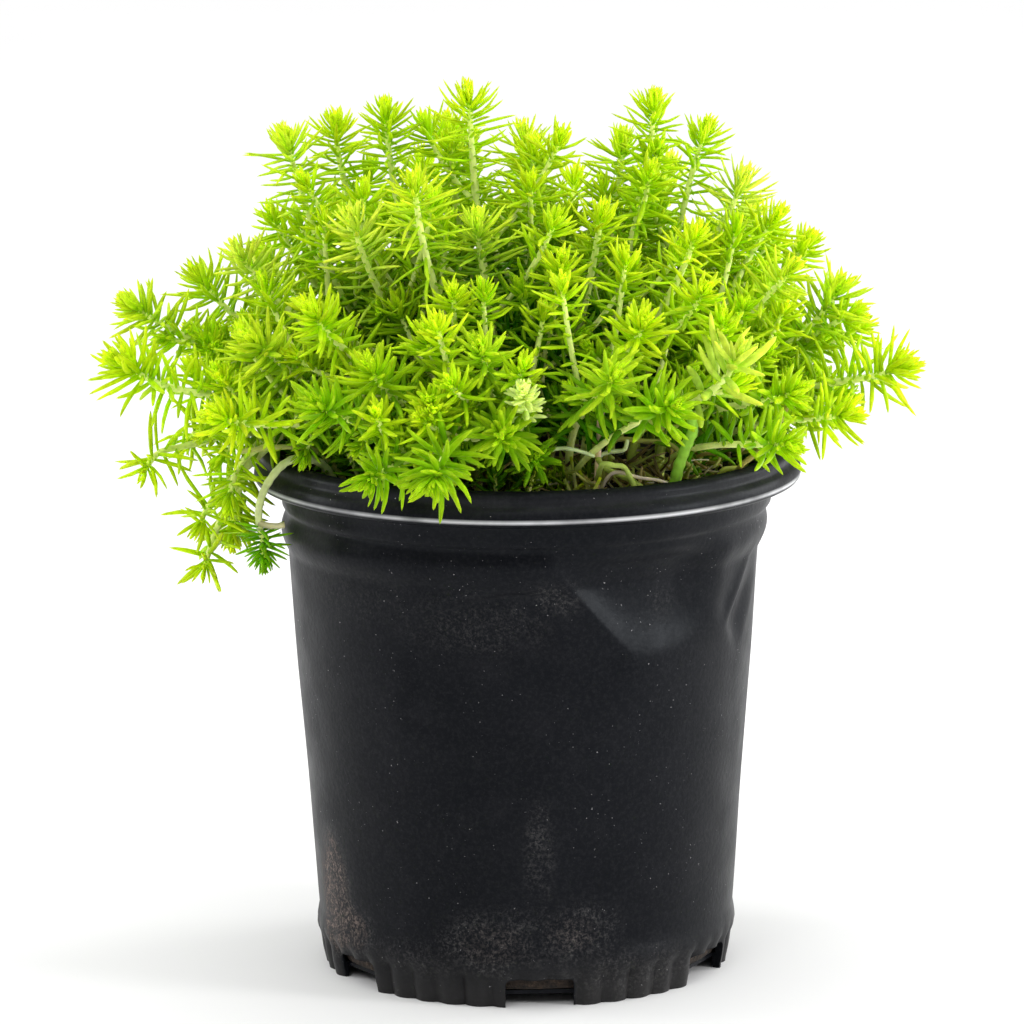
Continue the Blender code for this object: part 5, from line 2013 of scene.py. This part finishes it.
def plastic_material():
    """Scuffed black plastic with dust that gathers where the mesh says, specks and a painted highlight along
    the lip edge.
    """
    material, tree, shader = new_material("black_plastic_fine")
    split = add_node(tree, "ShaderNodeSeparateColor")
    tree.links.new(tint_of(tree), split.inputs["Color"])
    plastic = plastic_colour(tree)
    fine = noise_ramp(tree, 950.0, 5.0, (0.47, 0.0), (0.72, 1.0), roughness=0.8)
    clumps = noise_ramp(tree, 130.0, 6.0, (0.36, 0.1), (0.7, 1.0), roughness=0.7)
    cover = product(tree, product(tree, fine, clumps), split.outputs["Red"], clamp=True)
    dirty = blend_colours(tree, split.outputs["Blue"], plastic, FILM_COLOUR)
    dust = ramp(tree, split.outputs["Red"], (0.55, DUST_THIN), (1.0, DUST_THICK))
    dusty = blend_colours(tree, cover, dirty, dust)
    specks = noise_ramp(tree, 1300.0, 1.0, (0.755, 0.0), (0.785, 1.0))
    patchy = noise_ramp(tree, 70.0, 2.0, (0.46, 0.0), (0.6, 0.9))
    spotted = blend_colours(tree, product(tree, specks, patchy), dusty, SPECK_COLOUR)
    # A painted highlight on the lip, from the green channel, broken up by noise
    highlight_breaks = noise_ramp(tree, 55.0, 4.0, (0.34, 0.4), (0.58, 1.0))
    lip_highlight = product(tree, split.outputs["Green"], highlight_breaks, clamp=True)
    tree.links.new(blend_colours(tree, lip_highlight, spotted, LIP_HIGHLIGHT_COLOUR), shader.inputs["Base Color"])
    gloss = noise_ramp(tree, 85.0, 5.0, (0.3, 0.33), (0.75, 0.47))
    rough = blend_colours(tree, cover, gloss, DUST_ROUGHNESS)
    tree.links.new(rough, shader.inputs["Roughness"])
    set_inputs(shader, Specular_IOR_Level=0.092, Specular_Tint=(0.86, 0.93, 1.0, 1.0))
    add_bump(tree, shader, object_noise(tree, 640.0, 4.0), 0.22, 0.0004)
    return material


def soil_material():
    """Dark, damp potting mix with brown and a few pale grains."""
    material, tree, shader = new_material("potting_mix_fine")
    grain = object_noise(tree, 520.0, 5.0, 0.7)
    colour = ramp(tree, grain, *SOIL_BROWNS)
    pale = noise_ramp(tree, 900.0, 1.0, (0.76, 0.0), (0.79, 0.8))
    tree.links.new(blend_colours(tree, pale, colour, PALE_GRAIN_COLOUR), shader.inputs["Base Color"])
    tree.links.new(ramp(tree, grain, (0.3, 0.95), (0.7, 0.75)), shader.inputs["Roughness"])
    add_bump(tree, shader, grain, 0.8, 0.0012)
    return material


def floor_material():
    """White paper, a little uneven in tone."""
    material, tree, shader = new_material("studio_floor")
    tree.links.new(noise_ramp(tree, 2.0, 2.0, (0.3, 0.86), (0.7, 0.88)), shader.inputs["Base Color"])
    set_inputs(shader, Roughness=0.9, Specular_IOR_Level=0.1)
    return material


# Studio


def turn_towards(holder, way):
    """Turn a camera or light so that it looks along a way."""
    holder.rotation_mode = "QUATERNION"
    holder.rotation_quaternion = Vector(way).to_track_quat("-Z", "Y")


def build_camera():
    camera = bpy.data.cameras.new("camera")
    camera.lens = CAMERA_LENS
    camera.sensor_width = CAMERA_SENSOR
    camera.clip_end = CAMERA_REACH
    holder = link_object("camera", camera)
    holder.location = CAMERA_PLACE
    turn_towards(holder, Vector(CAMERA_AIM) - Vector(CAMERA_PLACE))
    holder.rotation_quaternion @= Quaternion((0.0, 0.0, 1.0), CAMERA_ROLL)
    bpy.context.scene.camera = holder


def add_area(name, place, aim, size, power):
    light = bpy.data.lights.new(name, "AREA")
    light.shape = "DISK"
    light.size = size
    light.energy = power
    holder = link_object(name, light)
    holder.location = place
    turn_towards(holder, Vector(aim) - Vector(place))


def add_overhead():
    light = bpy.data.lights.new("overhead", "SUN")
    light.energy = OVERHEAD_POWER
    light.angle = OVERHEAD_SPREAD
    turn_towards(link_object("overhead", light), OVERHEAD_WAY)


def add_floor():
    bm = bmesh.new()
    bmesh.ops.create_grid(bm, x_segments=FLOOR_CELLS, y_segments=FLOOR_CELLS, size=FLOOR_SIZE)
    mesh = bpy.data.meshes.new("floor")
    bm.to_mesh(mesh)
    bm.free()
    mesh.materials.append(floor_material())
    floor = link_object("floor", mesh)
    floor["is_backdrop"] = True


def build_studio():
    """A white floor under a broad overhead light, with strips at the sides and a low light for the dents."""
    world = bpy.data.worlds.new("studio")
    world.use_nodes = True
    set_inputs(world.node_tree.nodes["Background"], Color=(1.0, 1.0, 1.0, 1.0), Strength=WORLD_STRENGTH)
    bpy.context.scene.world = world
    add_overhead()
    for light in AREA_LIGHTS:
        add_area(*light)
    add_floor()
    bpy.context.scene.view_settings.view_transform = "Standard"


def write_sizes():
    """The solids' box and the dressed model's box, gathered as plain lists."""
    boxes = {"cad": cad_box, "visual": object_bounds()}
    plain = {name: [[float(part) for part in corner] for corner in box] for name, box in boxes.items()}


build_camera()
build_studio()
build_pot(plastic_material())
soil = soil_material()
build_soil(soil)
build_crumbs(soil)
leaf = leaf_material()
build_foliage(plan_stems(), leaf)
build_bare_stems(leaf)
build_litter(leaf)
build_rim_tufts(leaf)
write_sizes()
